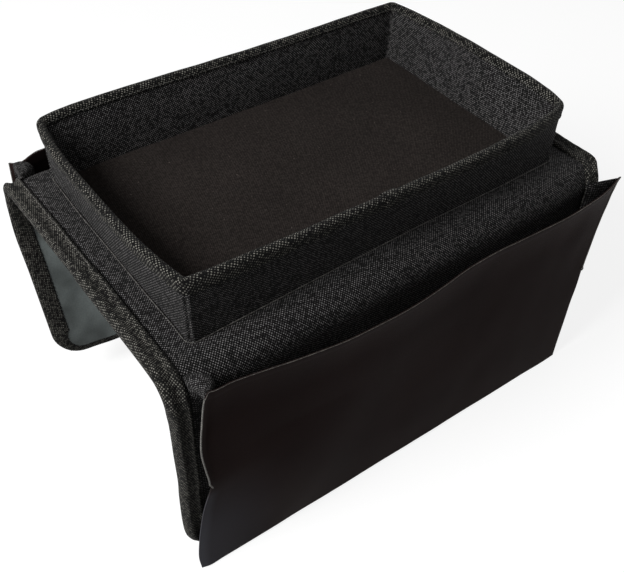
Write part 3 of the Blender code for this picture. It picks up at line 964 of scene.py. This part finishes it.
def stitch_row(name, path, step, length, material):
    """A row of stitches along a path of places and ways out; their lengths vary a little."""
    verts, faces, flat = [], [], []
    for k, (spot, along, out) in enumerate(evenly(path, step)):
        side_way = out.cross(along).normalized()
        uneven_length = noise.noise(Vector((k * VARIES_STEP, 0, 0)))
        half = length / 2 * (1 + LENGTH_VARIES * uneven_length)
        for x, y, z in STITCH_POINTS:
            verts.append(spot + along * (x * half) + side_way * (y * THREAD_HALF)
                         + out * (z * THREAD_HALF))
            flat.append((k * step + x * half, y * THREAD_HALF))
        faces += [tuple(i + k * len(STITCH_POINTS) for i in face) for face in STITCH_FACES]
    mesh = bpy.data.meshes.new(name)
    mesh.from_pydata(verts, [], faces)
    write_flat(mesh, mesh.uv_layers.new(name="UVMap").data, flat)
    piece = new_object(name, mesh)
    select_only(piece)
    bpy.ops.object.mode_set(mode="EDIT")
    bpy.ops.mesh.select_all(action="SELECT")
    bpy.ops.mesh.normals_make_consistent(inside=False)
    bpy.ops.object.mode_set(mode="OBJECT")
    bpy.ops.object.shade_smooth_by_angle(angle=ROUND_UNDER)
    mesh.materials.append(material)
    print(name, len(verts) // len(STITCH_POINTS), "stitches")
    return piece


# %% [markdown]
# ## Stitches along the mat's tape
#
# One row of dull thread shows on the tape's ridge. Along the other leg's edge, on the lining, a row
# of near-black stitches so long that they nearly touch is painted shade, for the groove by the tape.

# %% Stitches on both sides of the mat
MAT_STITCH_STEP, OUTWARDS_STEP = 0.0036, 0.01
RIDGE_SEAM, RIDGE_LEVEL, RIDGE_STITCH = 0.0104, MAT + 0.0017, 0.0028
INNER_SHADE_INSET, INNER_LEVEL, INNER_STITCH = 0.0125, -0.0001, 0.0038


def mat_stitches(side, name, inwards, level, outwards, length, material):
    """A row of stitches along the mat's tape; the inner one is nearer to the edge at the bottom."""
    path = []
    for x, s, dx, ds, run in mat_edge():
        w = inwards * (inner_share(ds) if outwards < 0 else 1)
        low, high = (on_mat(side, x + w * dx, s + w * ds, n)
                     for n in (level, level + OUTWARDS_STEP * outwards))
        path.append((low, (high - low).normalized()))
    piece = stitch_row(f"{side.name}_{name}", path, MAT_STITCH_STEP, length, material)
    bend_with_flap(piece, side)


for side in SIDES:
    mat_stitches(side, "stitches", RIDGE_SEAM, RIDGE_LEVEL, 1, RIDGE_STITCH, DULL_THREAD)
    # The near-black inner row is painted shade along the tape's inner edge.
    mat_stitches(side, "inner_shade_row", INNER_SHADE_INSET, INNER_LEVEL, -1, INNER_STITCH, SHADE_THREAD)

# %% [markdown]
# ## Walls that lean
#
# The tray is drawn upright, and then leaned as a whole, because all its plies lean together. For
# each wall a table says how far the foot and the rim stand out, in millimetres, at places from one
# corner, -1, to the other, 1. Between two walls their moves are mixed, and so are they in height.

# %% Walls that lean
def by_share(*rows):
    """A table in metres, from rows of a share of the way and then millimetres."""
    return [[share, *(value / 1000 for value in values)] for share, *values in rows]


LEFT_LEAN = by_share((-1, 1.6, 3), (-0.84, 0.9, 5.6), (-0.66, 0.8, 8.3), (-0.42, 0.7, 9.8),
                     (-0.1, 0.3, 10.3), (0.2, 0, 10.1), (0.5, -0.2, 9.5), (0.75, -1, 7.3),
                     (0.92, -1.6, 4), (1, -2, 0.4))
RIGHT_LEAN = by_share((-1, 1, 4.4), (-0.88, 0.8, 8.2), (-0.75, 0.5, 10.4), (-0.5, 0, 11.9),
                      (-0.2, 0, 11.6), (0.05, 0, 11.7), (0.3, 0, 10.5), (0.6, 0, 8.1),
                      (0.86, 0, 4.6), (1, 0, 1.8))
FRONT_LEAN = by_share((-1, 1.6, 0.4), (-0.87, 0.9, 2.9), (-0.6, 0, 5.3), (-0.33, -0.8, 6.7),
                      (-0.07, -1.3, 7.8), (0.2, -1.8, 9), (0.45, -1.3, 9.3), (0.7, -1.1, 7.7),
                      (0.87, -1.4, 4.4), (1, -1.4, -1.4))
BACK_LEAN = by_share((-1, 0, 5.2), (-0.9, 0, 7.8), (-0.74, 0, 8.8), (-0.5, -0.4, 7.7),
                     (-0.25, -1.2, 5.7), (0.02, -1.8, 3.8), (0.16, -1.9, 2.9), (0.45, -2, 2.3),
                     (0.77, -2, 1.9), (1, -1.8, 1))


def leaned(x, y, z):
    """Moves a point of the upright tray to where its leaning walls have it."""
    t_x, t_y = x / (TRAY_LENGTH / 2), (y - TRAY_SHIFT) / (TRAY_WIDTH / 2)
    right, back = (1 + t_x) / 2, (1 + t_y) / 2
    rise = (z - TRAY_FOOT) / (RIM_TOP - TRAY_FOOT)
    moves = []
    for table, t in ((LEFT_LEAN, t_y), (RIGHT_LEAN, t_y), (FRONT_LEAN, t_x), (BACK_LEAN, t_x)):
        foot, rim = stations(table, t)
        moves.append(foot + (rim - foot) * rise)
    return Vector((x + right * moves[1] - (1 - right) * moves[0],
                   y + back * moves[3] - (1 - back) * moves[2], z))


lean = leaned(-TRAY_LENGTH / 2, TRAY_SHIFT, RIM_TOP).x + TRAY_LENGTH / 2
print("the left rim's middle moves by", round(lean, 4), "m")

# %% [markdown]
# ## Round the tray
#
# Cover, lining and tape are one ring each. All rings have the same stations, so their cloth turns
# the corners together, and only their inset from the outer face and their corners' radii differ.

# %% Stations round the tray
RING_CORNER_STEPS, LONG_STEPS, SHORT_STEPS = 12, 90, 56


def tray_round(inset, corner=TRAY_CORNER):
    """Points round the tray at an inset: x, y, and the way out."""
    x, y = TRAY_LENGTH / 2 - inset, TRAY_WIDTH / 2 - inset
    radius = max(corner - inset, LINING_CORNER)
    path = []
    for turn, (sx, sy) in enumerate(((1, 1), (-1, 1), (-1, -1), (1, -1))):
        cx, cy = sx * (x - radius), sy * (y - radius)
        for a in between(turn * math.pi / 2, (turn + 1) * math.pi / 2, RING_CORNER_STEPS):
            path.append((cx + radius * math.cos(a), cy + radius * math.sin(a),
                         math.cos(a), math.sin(a)))
        length, steps = ((2 * (x - radius), LONG_STEPS), (2 * (y - radius), SHORT_STEPS))[turn % 2]
        ax, ay, ox, oy = path[-1]
        for share in between(0, 1, steps)[1:-1]:
            path.append((ax - oy * length * share, ay + ox * length * share, ox, oy))
    return path + path[:1]


outer_ring = tray_round(0)
ring_runs = section_run([point[:2] for point in outer_ring])
corner_runs = [run for run, point in zip(ring_runs, outer_ring)
               if abs(abs(point[2]) - abs(point[3])) < TINY]
print(len(outer_ring), "stations,", round(ring_runs[-1], 3), "m round the tray")

# %% [markdown]
# ## A ring of cloth
#
# A section of insets and heights is laid at every station and leaned. Noise makes it wavy, and
# at each corner a seam draws the cover in, with a ridge of turned-in cloth beside it.

# %% A ring of cloth
SEAM_RIDGE, SEAM_RIDGE_WIDTH = 0.0022, 0.0012
SEAM_HOLLOW, SEAM_HOLLOW_WIDTH = 0.8, 0.0011
WAVE_SIZE, SMALL_WAVE_SIZE, SMALL_WAVE_SHARE = 0.022, 0.007, 0.4


def tray_cloth(name, section, faces, wave, thickness, materials, seed=0, seam=0.0):
    """A ring of cloth round the tray with a section of (inset, z, corner radius) points."""
    rings = [tray_round(inset, corner) for inset, z, corner in section]
    runs = section_run([point[:2] for point in section])

    def place(column, row):
        x, y, ox, oy = rings[row][column]
        run, z = ring_runs[column % (len(ring_runs) - 1)], section[row][1]
        out = (uneven(run, z, WAVE_SIZE, wave, seed)
               + uneven(run, z * 3, SMALL_WAVE_SIZE, wave * SMALL_WAVE_SHARE, seed))
        past = min((run - at for at in corner_runs), key=abs)
        out += seam * (groove(past - SEAM_RIDGE, SEAM_RIDGE_WIDTH)
                       - SEAM_HOLLOW * groove(past, SEAM_HOLLOW_WIDTH))
        return leaned(x + out * ox, TRAY_SHIFT + y + out * oy, z), (ring_runs[column], runs[row])

    piece = cloth_grid(name, len(outer_ring), len(section), place, faces, ring=True)
    sewn(piece, thickness, materials)
    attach(piece, "saddle")
    return piece


print("corners at", [round(run, 3) for run in corner_runs], "m")

# %% [markdown]
# ## Boards in the walls
#
# A stiff board stands inside each wall. A cube could be squeezed to its size, but the wall leans
# and bows, so the board is a grid like the cloth beside it, leaned in the same way and thickened.

# %% Boards in the walls
BOARD_CLEAR, BOARD_TOP = 0.007, 0.0492
BOARD_STEPS, BOARD_RISES = 24, 8


def wall_board(name, turn, turned):
    """A board inside a wall, which stops short of the soft corners and leans with the cloth."""
    half = (TRAY_WIDTH if turned else TRAY_LENGTH) / 2 - BOARD_CLEAR
    face = (TRAY_LENGTH if turned else TRAY_WIDTH) / 2 - 2 * EDGE

    def place(column, row):
        s = half * math.sin((column / BOARD_STEPS - 0.5) * math.pi)
        z = TRAY_FOOT + (BOARD_TOP - TRAY_FOOT) * row / BOARD_RISES
        x, y = (turn * face, s) if turned else (s, turn * face)
        return leaned(x, TRAY_SHIFT + y, z), (s, z)

    piece = cloth_grid(f"tray_{name}_board", BOARD_STEPS + 1, BOARD_RISES + 1, place,
                       (turn, 0, 0) if turned else (0, turn, 0))
    sewn(piece, WALL_BOARD, [BOARD])
    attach(piece, "saddle")
    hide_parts(f"tray_wall_board_{name}")


for name, turn, turned in (("left", -1, True), ("right", 1, True), ("front", -1, False),
                           ("back", 1, False)):
    wall_board(name, turn, turned)

# %% [markdown]
# ## Cover and lining
#
# The cover flares a little towards its foot, where it is sewn on the mat. The lining slopes in to
# the floor and bellies out between, because it is sewn down only at its rim and its foot.

# %% Cover and lining
SECTION_STEPS, FLARE_POWER = 14, 1.5
COVER_WAVE, COVER_SEAM, LINING_WAVE = 0.0004, 0.0011, 0.0007
COVER_TOP, LINING_TOP = RIM_TOP - 0.0050, RIM_TOP - RIM_TAPE_INSIDE + 0.0010
shares = between(0, 1, SECTION_STEPS)

cover_section = [(EDGE - WALL_FLARE * (1 - share) ** FLARE_POWER,
                  TRAY_FOOT + (COVER_TOP - TRAY_FOOT) * share,
                  FOOT_CORNER + (TRAY_CORNER - FOOT_CORNER) * share ** 2) for share in shares]
cover = tray_cloth("tray_cover", cover_section, (1, 0, 0), COVER_WAVE, CLOTH, [OXFORD],
                   seam=COVER_SEAM)
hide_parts("tray_outer_cover")

lining_section = []
for share in shares:
    belly = LINING_BELLY * math.sin(math.pi * share)
    inset = LINING_INSET + CLOTH + LINING_SLOPE * (1 - share) + belly
    lining_section.append((inset, FLOOR_TOP - CLOTH + (LINING_TOP - FLOOR_TOP) * share, TRAY_CORNER))
lining = tray_cloth("tray_lining", lining_section, (-1, 0, 0), LINING_WAVE, CLOTH, [OXFORD],
                    seed=3)
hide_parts("tray_inner_lining")

# %% [markdown]
# ## Tape over the rim
#
# The rim's tape is folded over both plies and the board. Its section goes up outside, half round
# over the top and a shorter way down inside. The outer leg's raw edge stands off a little.

# %% Tape over the rim
RIM_STEPS, RIM_WAVE = 8, 0.0004
RAW_EDGE_OUT, RAW_EDGE_UP = 0.0003, 0.0007


def rim_section(out):
    """The tape's insets, heights and corners from its outer edge to its inner one."""
    middle, radius = RIM / 2, RIM / 2 + out
    bend = RIM_TOP - RIM / 2
    top = [(middle - radius * math.cos(a), bend + radius * math.sin(a))
           for a in between(0, math.pi, RIM_STEPS)]
    low = RIM_TOP - RIM_TAPE
    outside = [(middle - radius, low), (middle - radius - RAW_EDGE_OUT, low + RAW_EDGE_UP),
               (middle - radius, (low + bend) / 2)]
    inside = [(middle + radius, RIM_TOP - RIM_TAPE_INSIDE)]
    return [(inset, z, TRAY_CORNER) for inset, z in outside + top + inside]


rim = tray_cloth("tray_rim", rim_section(0), (1, 0, 0), RIM_WAVE, CLOTH, [RIM_CLOTH],
                 seed=7)
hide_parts("tray_rim_binding")

# %% [markdown]
# ## Stitches round the rim
#
# One row holds the tape's outer leg and one its inner leg. Both use the stitch from above.

# %% Stitches round the rim
RIM_STITCH_STEP, RIM_STITCH, RIM_STITCH_IN = 0.0032, 0.0025, 0.0001
OUTSIDE_UP, INSIDE_UP = 0.0013, 0.0012


def tray_stitches(name, inset, z, outwards):
    """A row of stitches round the tray at a height."""
    path = [(leaned(x, TRAY_SHIFT + y, z), Vector((ox, oy, 0)) * outwards)
            for x, y, ox, oy in tray_round(inset)]
    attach(stitch_row(name, path, RIM_STITCH_STEP, RIM_STITCH, BLACK_THREAD), "saddle")


tray_stitches("tray_stitches_outside", RIM_STITCH_IN, RIM_TOP - RIM_TAPE + OUTSIDE_UP, 1)
tray_stitches("tray_stitches_inside", RIM - RIM_STITCH_IN,
              RIM_TOP - RIM_TAPE_INSIDE + INSIDE_UP, -1)

# %% [markdown]
# ## The tray's floor
#
# The floor is one flat piece of matt cloth on the base board. It ends just inside the lining's foot
# and lies a little unevenly.

# %% The tray's floor
FLOOR_INSET = 0.0084
FLOOR_COLUMNS, FLOOR_ROWS = 90, 54
FLOOR_WAVE, FLOOR_WAVE_SIZE = 0.0004, 0.05


def tray_floor():
    def place(column, row):
        x = (column / FLOOR_COLUMNS * 2 - 1) * (TRAY_LENGTH / 2 - FLOOR_INSET)
        y = (row / FLOOR_ROWS * 2 - 1) * (TRAY_WIDTH / 2 - FLOOR_INSET)
        z = FLOOR_TOP + uneven(x, y, FLOOR_WAVE_SIZE, FLOOR_WAVE)
        return leaned(x, TRAY_SHIFT + y, z), (x, y)

    piece = cloth_grid("tray_floor", FLOOR_COLUMNS + 1, FLOOR_ROWS + 1, place, (0, 0, 1))
    sewn(piece, CLOTH, [FLOOR])
    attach(piece, "saddle")
    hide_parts("tray_floor_cover")


tray_floor()

# %% [markdown]
# ## Where the tape ends
#
# The rim's tape ends on top of its own start, near the middle of the front wall. This short piece
# has the tape's section, one layer further out.

# %% Where the tape ends
LAP_STEPS, LAP_TUCK = 8, 1.12
LAP_WAVE_SIZE, LAP_WAVE = 0.004, 0.0002


def rim_lap():
    section = [point[:2] for point in rim_section(EDGE)]
    runs = section_run(section)
    front = TRAY_SHIFT - TRAY_WIDTH / 2

    def place(column, row):
        inset, z = section[row]
        x = LAP_PLACE + (column / LAP_STEPS - 0.5) * LAP_LENGTH
        z += uneven(x, z, LAP_WAVE_SIZE, LAP_WAVE)
        return leaned(x, front + inset, z), (x, runs[row])

    piece = cloth_grid("tray_rim_end", LAP_STEPS + 1, len(section), place, (0, -1, 0))
    sewn(piece, CLOTH, [RIM_CLOTH])
    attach(piece, "saddle")
    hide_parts("tray_rim_lap")


rim_lap()

# %% [markdown]
# ## A thin sewn cord
#
# A welt, a piped edge and the fold of a hem are all thin round lines. A curve with a round bevel
# makes one in a few lines. It is then turned into a mesh, so that it can be measured and exported.

# %% A thin sewn cord
def cord_piece(name, points, radius, body, material, closed=False):
    """A thin sewn cord along points, made from a curve with a round bevel."""
    curve = bpy.data.curves.new(name, "CURVE")
    curve.dimensions, curve.bevel_depth, curve.bevel_resolution = "3D", radius, 1
    curve.use_fill_caps = not closed
    line = curve.splines.new("POLY")
    line.points.add(len(points) - 1)
    for point, place in zip(line.points, points):
        point.co = (*place, 1)
    line.use_cyclic_u = closed
    select_only(new_object(name, curve))
    bpy.ops.object.convert(target="MESH")
    piece = bpy.context.object
    piece.name = name
    if not piece.data.uv_layers:
        piece.data.uv_layers.new(name="UVMap")
    piece.data.materials.clear()
    piece.data.materials.append(material)
    bpy.ops.object.shade_smooth_by_angle(angle=ROUND_UNDER)
    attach(piece, body)
    print(name, round(volume(piece) * 1e9, 1), "mm3")
    return piece


# %% [markdown]
# ## The welt
#
# Round the tray's foot a thin welt covers the seam that holds the tray on the mat.

# %% The welt
WELT_OUT, WELT_UP, WELT_RADIUS = 0.0011, 0.0004, 0.00032
foot_ring = tray_round(EDGE - WALL_FLARE - WELT_OUT, FOOT_CORNER)[:-1]
foot_line = [leaned(x, TRAY_SHIFT + y, TRAY_FOOT + WELT_UP) for x, y, ox, oy in foot_ring]
welt = cord_piece("tray_welt", foot_line, WELT_RADIUS, "saddle", DULL_THREAD, closed=True)
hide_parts("tray_base_welt")

# %% [markdown]
# ## The pockets
#
# A smooth panel closes each pocket. Its mouth bows out and rises to an ear at each end, where the
# gusset is sewn on. Below the piping's end the front panel's left edge is loose: it flares out
# and curls back. The columns are closer together towards the ends, because the ears are there.

# %% Panels
PANEL_COLUMNS, PANEL_ROWS = 161, 91
EAR_CUT = 0.006
PANEL_WAVE, PANEL_SMALL_WAVE, SMALL_WAVE_STRETCH = (0.070, 0.0012, 11), (0.025, 0.0003, 12), 0.6


def panel_x(column):
    return math.sin((column / (PANEL_COLUMNS - 1) - 0.5) * math.pi) * POCKET_HALF


def panel_wave(x, s):
    return uneven(x, s, *PANEL_WAVE) + uneven(x, s * SMALL_WAVE_STRETCH, *PANEL_SMALL_WAVE)


def panel(side):
    top = pocket_height(side)
    rises = between(0, 1, PANEL_ROWS - 1)

    def place(column, row):
        x = panel_x(column)
        s = rises[row] * (mouth_height(side, x) - EDGE)
        return on_panel(side, x, s, CLOTH + panel_wave(x, s)), (x, s)

    piece = cloth_grid(f"{side.name}_panel", PANEL_COLUMNS, PANEL_ROWS, place, (0, side.sign, 0))
    sewn(piece, CLOTH, [PANEL])
    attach(piece, f"{side.name}_pocket")
    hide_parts(f"{side.name}_pocket_panel")
    2 * POCKET_HALF * (top - EAR_CUT)


print("columns stand", round(panel_x(1) - panel_x(0), 5), "m apart at the edge and",
      round(panel_x(PANEL_COLUMNS // 2 + 1), 5), "m in the middle")

# %% [markdown]
# ## Hems
#
# The hem is folded over the mouth's edge like the tapes, so it too is a section laid along an
# edge. A thin pale cord just above it is a painted highlight, for the light on the fold's top.

# %% Hems
HEM_CLOTH, FOLD_RADIUS, FOLD_UP = 0.0004, 0.0002, 0.0001
HEM_FOLD = [(HEM, CLOTH), (HEM - 0.0002, CLOTH + 0.0003), (HEM - 0.002, CLOTH + 0.0004),
            (0.002, CLOTH + 0.0005), (0.0004, CLOTH + 0.0003), (0, CLOTH / 2),
            (0.0004, -0.0003), (0.002, -0.0005), (HEM, -0.0005)]


def hem(side):
    runs = section_run(HEM_FOLD)

    def place(column, row):
        x = panel_x(column)
        w, n = HEM_FOLD[row]
        s = mouth_height(side, x) - w
        return on_panel(side, x, s, n + panel_wave(x, s)), (x, runs[row])

    piece = cloth_grid(f"{side.name}_hem", PANEL_COLUMNS, len(HEM_FOLD), place, (0, side.sign, 0))
    sewn(piece, HEM_CLOTH, [NYLON])
    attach(piece, f"{side.name}_pocket")
    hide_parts(f"{side.name}_pocket_hem")
    # The pale cord along the mouth is a painted highlight on the hem's fold.
    line = []
    for x in map(panel_x, range(PANEL_COLUMNS)):
        top = mouth_height(side, x)
        line.append(on_panel(side, x, top + FOLD_UP, CLOTH + panel_wave(x, top)))
    cord_piece(f"{side.name}_hem_edge", line, FOLD_RADIUS, f"{side.name}_pocket", DULL_THREAD)


print("a hem takes", round(section_run(HEM_FOLD)[-1], 4), "m of cloth")

# %% [markdown]
# ## A gusset's wall
#
# A gusset is a strip of the coarse cloth that lets the mouth open. It is sewn to the flap along
# one edge and to the panel along the other, and folds inwards between them. At the front's right
# end the mouth is pulled open, so the strip stands there as a sharp valley with the ear beside it.

# %% A gusset's wall
LOBE_TOP, TUCK = {"front": 0.1033, "back": 0.1060}, 0.012
GUSSET_INSET, VALLEY_ABOVE, BELOW_MOUTH = 0.0012, 0.008, 0.0010
SEWN_SHARE, TUCK_START, TUCK_END, TUCK_LEAN = 0.15, 0.10, (0.90, 0.985), 1.2
VALLEY = by_share((0, 3, 0), (0.4, 6, 0), (0.75, 15, 0), (1, 18.5, 4))


def is_valley(side, turn):
    return side.name == "front" and turn > 0


def gusset_wall(side, turn, up, across):
    """A point of the folded wall: up from the bottom, and across from the flap to the panel."""
    low = FLAP_END + side.drop
    high = flap_start(side) - VALLEY_ABOVE if is_valley(side, turn) else LOBE_TOP[side.name]
    edge_x = turn * (POCKET_HALF - GUSSET_INSET)
    at_mat = on_mat(side, 0, low + (high - low) * up, MAT + EDGE)
    at_mat.x = turn * GUSSET_FACE
    at_mat = on_panel(side, edge_x, 0, -EDGE).lerp(at_mat, fade(up, 0, SEWN_SHARE))
    at_panel = on_panel(side, edge_x, (mouth_height(side, edge_x) - BELOW_MOUTH) * up, -EDGE)
    if is_valley(side, turn):
        point = at_mat.lerp(at_panel, across)
        fold, rise = stations(VALLEY, up)
        share = 1 - abs(2 * across - 1)
        point.x -= turn * fold * share
        point.z += rise * share
        return point
    tucked = fade(up, 0, TUCK_START) * (1 - fade(up, *TUCK_END))
    point = at_mat.lerp(at_panel, across ** (1 + TUCK_LEAN * tucked))
    point.x -= turn * TUCK * math.sin(math.pi * across) * tucked
    return point


mouth = gusset_wall(FRONT, -1, 1, 0) - gusset_wall(FRONT, -1, 1, 1)
print("the left end of the front mouth opens by", round(mouth.length, 4), "m")

# %% [markdown]
# ## A gusset's lobe
#
# At three corners the top of the strip rolls over into a soft lobe. Its profile is a short table
# of how far it reaches inwards and upwards, and it is fullest in the middle of the strip.

# %% Gussets
LOBE = mm((0.6, 1.8), (2.2, 3.2), (4.8, 4), (7.8, 3.8), (10.3, 2.4), (11.7, -0.2), (12, -4),
          (11.2, -8.5))
LOBE_RUNS = section_run(LOBE)
LOBE_LEAST, LOBE_START = 0.05, 0.002
INWARDS_ROUND, UPWARDS_ROUND = 0.55, 0.35
GUSSET_COLUMNS, GUSSET_ROWS = 20, 60
GUSSET_WIDTH, GUSSET_RUN = 0.022, 0.19


def gusset(side, turn):
    """The folded cloth wall at one end of a pocket."""
    def place(column, row):
        across = column / GUSSET_COLUMNS
        up = min(1, row / GUSSET_ROWS)
        point = gusset_wall(side, turn, up, across)
        run = GUSSET_RUN * up
        if row > GUSSET_ROWS:
            inwards, upwards = LOBE[row - GUSSET_ROWS - 1]
            round_off = math.sin(math.pi * across)
            point.x -= turn * inwards * max(LOBE_LEAST, round_off ** INWARDS_ROUND)
            point.z += upwards * max(LOBE_LEAST, round_off ** UPWARDS_ROUND)
            run += LOBE_START + LOBE_RUNS[row - GUSSET_ROWS - 1]
        return point, (GUSSET_WIDTH * across, run)

    end = "right" if turn > 0 else "left"
    rows = GUSSET_ROWS + 1 + (0 if is_valley(side, turn) else len(LOBE))
    piece = cloth_grid(f"{side.name}_gusset_{end}", GUSSET_COLUMNS + 1, rows, place, (turn, 0, 0))
    sewn(piece, CLOTH, [OXFORD])
    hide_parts(f"{side.name}_pocket_gusset_{end}")
    side.sign * 0.1135
    side.sign * 0.122
    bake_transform(piece)


print("a lobe takes", round(LOBE_RUNS[-1], 4), "m of cloth")

# %% [markdown]
# ## The pocket's bottom
#
# A strip of nylon runs from the flap to the panel's fold and sags a little, so that nothing falls
# through. It is hidden in the photograph, and such pockets have one.

# %% Bottoms
BOTTOM_COLUMNS, BOTTOM_ROWS = 60, 10
BOTTOM_START, BOTTOM_SAG, BOTTOM_SPARE = 0.010, 0.35, 0.014
ON_FACE, BELOW_FACE = 0.0012, 0.001


def bottom(side):
    length = FLAP_END + side.drop

    def place(column, row):
        x = (column / BOTTOM_COLUMNS * 2 - 1) * (GUSSET_FACE - EDGE)
        share = row / BOTTOM_ROWS
        s = FLAP_END - BOTTOM_START
        start = on_mat(side, x, s, MAT + ON_FACE)
        end = on_panel(side, x, 0, -EDGE)
        point = start.lerp(end, share)
        sag = math.sin(math.pi * share) * BOTTOM_SAG
        point += (on_mat(side, x, length, MAT + BELOW_FACE) - end) * sag
        return point, (x, s + share * (length - s))

    piece = cloth_grid(f"{side.name}_bottom", BOTTOM_COLUMNS + 1, BOTTOM_ROWS + 1, place,
                       (0, -side.sign, 0))
    sewn(piece, CLOTH, [NYLON])
    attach(piece, f"{side.name}_flap")
    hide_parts(f"{side.name}_pocket_bottom")
    side.drop + BOTTOM_SPARE


print("bottoms", [round(side.drop + BOTTOM_SPARE, 3) for side in SIDES], "m wide")

# %% [markdown]
# ## The corded edges, and both pockets
#
# A thin cord is sewn up each side of the panel. It stops above the loose corner, and its end turns
# in there. With it, every piece of a pocket can be made, first at the front and then at the back.

# %% Piping, and both pockets
PIPING_RADIUS, PIPING_OUT, PIPING_PROUD, PIPING_STEPS = 0.00055, 0.0004, 0.0002, 60
PIPING_TAIL = mm((1.2, 0.8, -2.8), (0.6, 1, -1.2))


def piping(side, turn):
    end = "right" if turn > 0 else "left"
    edge_x = turn * (POCKET_HALF + PIPING_OUT)
    line = [on_panel(side, edge_x, s,
                     CLOTH / 2 + PIPING_PROUD + panel_wave(turn * POCKET_HALF, s))
            for s in between(side.piping_low, mouth_height(side, edge_x), PIPING_STEPS)]
    tail = [line[0] + Vector((-turn * inwards, side.sign * outwards, upwards))
            for inwards, outwards, upwards in PIPING_TAIL]
    piece = cord_piece(f"{side.name}_piping_{end}", tail + line, PIPING_RADIUS,
                       f"{side.name}_pocket", THREAD)
    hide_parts(f"{side.name}_pocket_piping_{end}")


for side in SIDES:
    panel(side)
    hem(side)
    bottom(side)
    for turn in (-1, 1):
        gusset(side, turn)
        piping(side, turn)

# %% [markdown]
# ## The solid that stays
#
# The board under the tray's floor is flat and hidden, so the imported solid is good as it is. It
# only gets the finish of the other boards.

# %% Finish of the boards
boards = [solid for name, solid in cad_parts.items() if "board" in name]
for solid in boards:
    solid.data.materials.clear()
    solid.data.materials.append(BOARD)
print(len(boards), "solid boards with the board's finish")

# %% [markdown]
# ## Camera
#
# The camera stands where the photographer's did. Its three directions and its distance were solved
# from the tray's corners, the mat's edges and the front pocket, and its lens from the same lines.

# %% Camera
PICTURE_WIDTH, FOCAL_PIXELS, SENSOR = 624, 880.4, 36
RIGHT = Vector((0.7994, -0.5999, 0.0330))
DOWN = Vector((-0.4027, -0.5759, -0.7115))
FORWARD = Vector((0.4458, 0.5555, -0.7019))
eye = bpy.data.cameras.new("camera")
eye.sensor_width, eye.lens = SENSOR, FOCAL_PIXELS / PICTURE_WIDTH * SENSOR
eye.clip_start, eye.clip_end = 0.01, 50
camera = new_object("camera", eye)
camera.matrix_world = Matrix((RIGHT, -DOWN, -FORWARD)).transposed().to_4x4()
camera.location = (-0.3061, -0.3869, 0.3800)
bpy.context.scene.camera = camera
print("lens", round(eye.lens, 1), "mm")

# %% [markdown]
# ## A white floor
#
# The photograph's ground is white, with a faint shadow under the organizer. So the floor shines
# nearly white for rays that look at it, from the camera or by way of a reflection, and is a plain
# grey floor for light, so that it keeps its shadow and doesn't light the cloth from below.

# %% Floor
FLOOR_SHINE, FLOOR_GREY, FLOOR_SIZE, FLOOR_BELOW = 0.84, 0.25, 8, 0.0005


def seen_rays(link):
    """1 where the camera, a reflection or a clear thing looks at a surface, and 0 for its light."""
    rays = link.node("LightPath")
    path = rays.socket.node
    for name in ("Is Glossy Ray", "Is Transmission Ray"):
        rays = rays.math("MAXIMUM", Link(rays.tree, path.outputs[name]))
    return rays


def floor_plane():
    deselect()
    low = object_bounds()[0].z
    bpy.ops.mesh.primitive_plane_add(size=FLOOR_SIZE, location=(0, 0, low - FLOOR_BELOW))
    bpy.ops.object.transform_apply()
    floor = bpy.context.object
    floor.name = "floor"
    material, link, shader = start_finish("floor", Roughness=0.9, Specular_IOR_Level=0.0,
                                          Base_Color=(FLOOR_GREY, FLOOR_GREY, FLOOR_GREY, 1),
                                          Emission_Strength=1.0)
    plug(seen_rays(link) * FLOOR_SHINE, shader, "Emission Color")
    floor.data.materials.append(material)
    floor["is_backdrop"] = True
    print("floor at", round(low - FLOOR_BELOW, 4), "m")


floor_plane()

# %% [markdown]
# ## The light all round
#
# The world is white where it is looked at, and lights the cloth only dimly, which keeps the
# shadows soft but deep.

# %% World
AMBIENT = 0.19
world = bpy.data.worlds.new("studio")
bpy.context.scene.world = world
world.use_nodes = True
seen = seen_rays(Link(world.node_tree))
background = world.node_tree.nodes["Background"]
background.inputs["Color"].default_value = (1, 1, 1, 1)
world.node_tree.links.new((seen * (1 - AMBIENT) + AMBIENT).socket, background.inputs["Strength"])
print("light all round:", AMBIENT)

# %% [markdown]
# ## One soft lamp
#
# In the photograph the left walls are the brightest and the front ones nearly black. So one soft
# lamp stands on the left and looks at the middle. The plain view transform keeps the colours as
# they were mixed.

# %% Lamp
light = bpy.data.lights.new("key", "AREA")
light.size, light.energy = 0.6, 26
lamp = new_object("key", light)
lamp.location = (-1.12, -0.06, 0.98)
lamp.rotation_euler = (-lamp.location).to_track_quat("-Z", "Y").to_euler()
bpy.context.scene.view_settings.view_transform = "Standard"
print("lamp", round(lamp.location.length, 2), "m from the middle")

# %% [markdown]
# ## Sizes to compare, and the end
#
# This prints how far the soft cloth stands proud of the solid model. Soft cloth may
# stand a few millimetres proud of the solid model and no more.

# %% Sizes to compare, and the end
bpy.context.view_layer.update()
(cad_low, cad_high), (low, high) = cad_box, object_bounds()
print("the cloth stands proud by", round(max(*(cad_low - low), *(high - cad_high)), 4), "m")
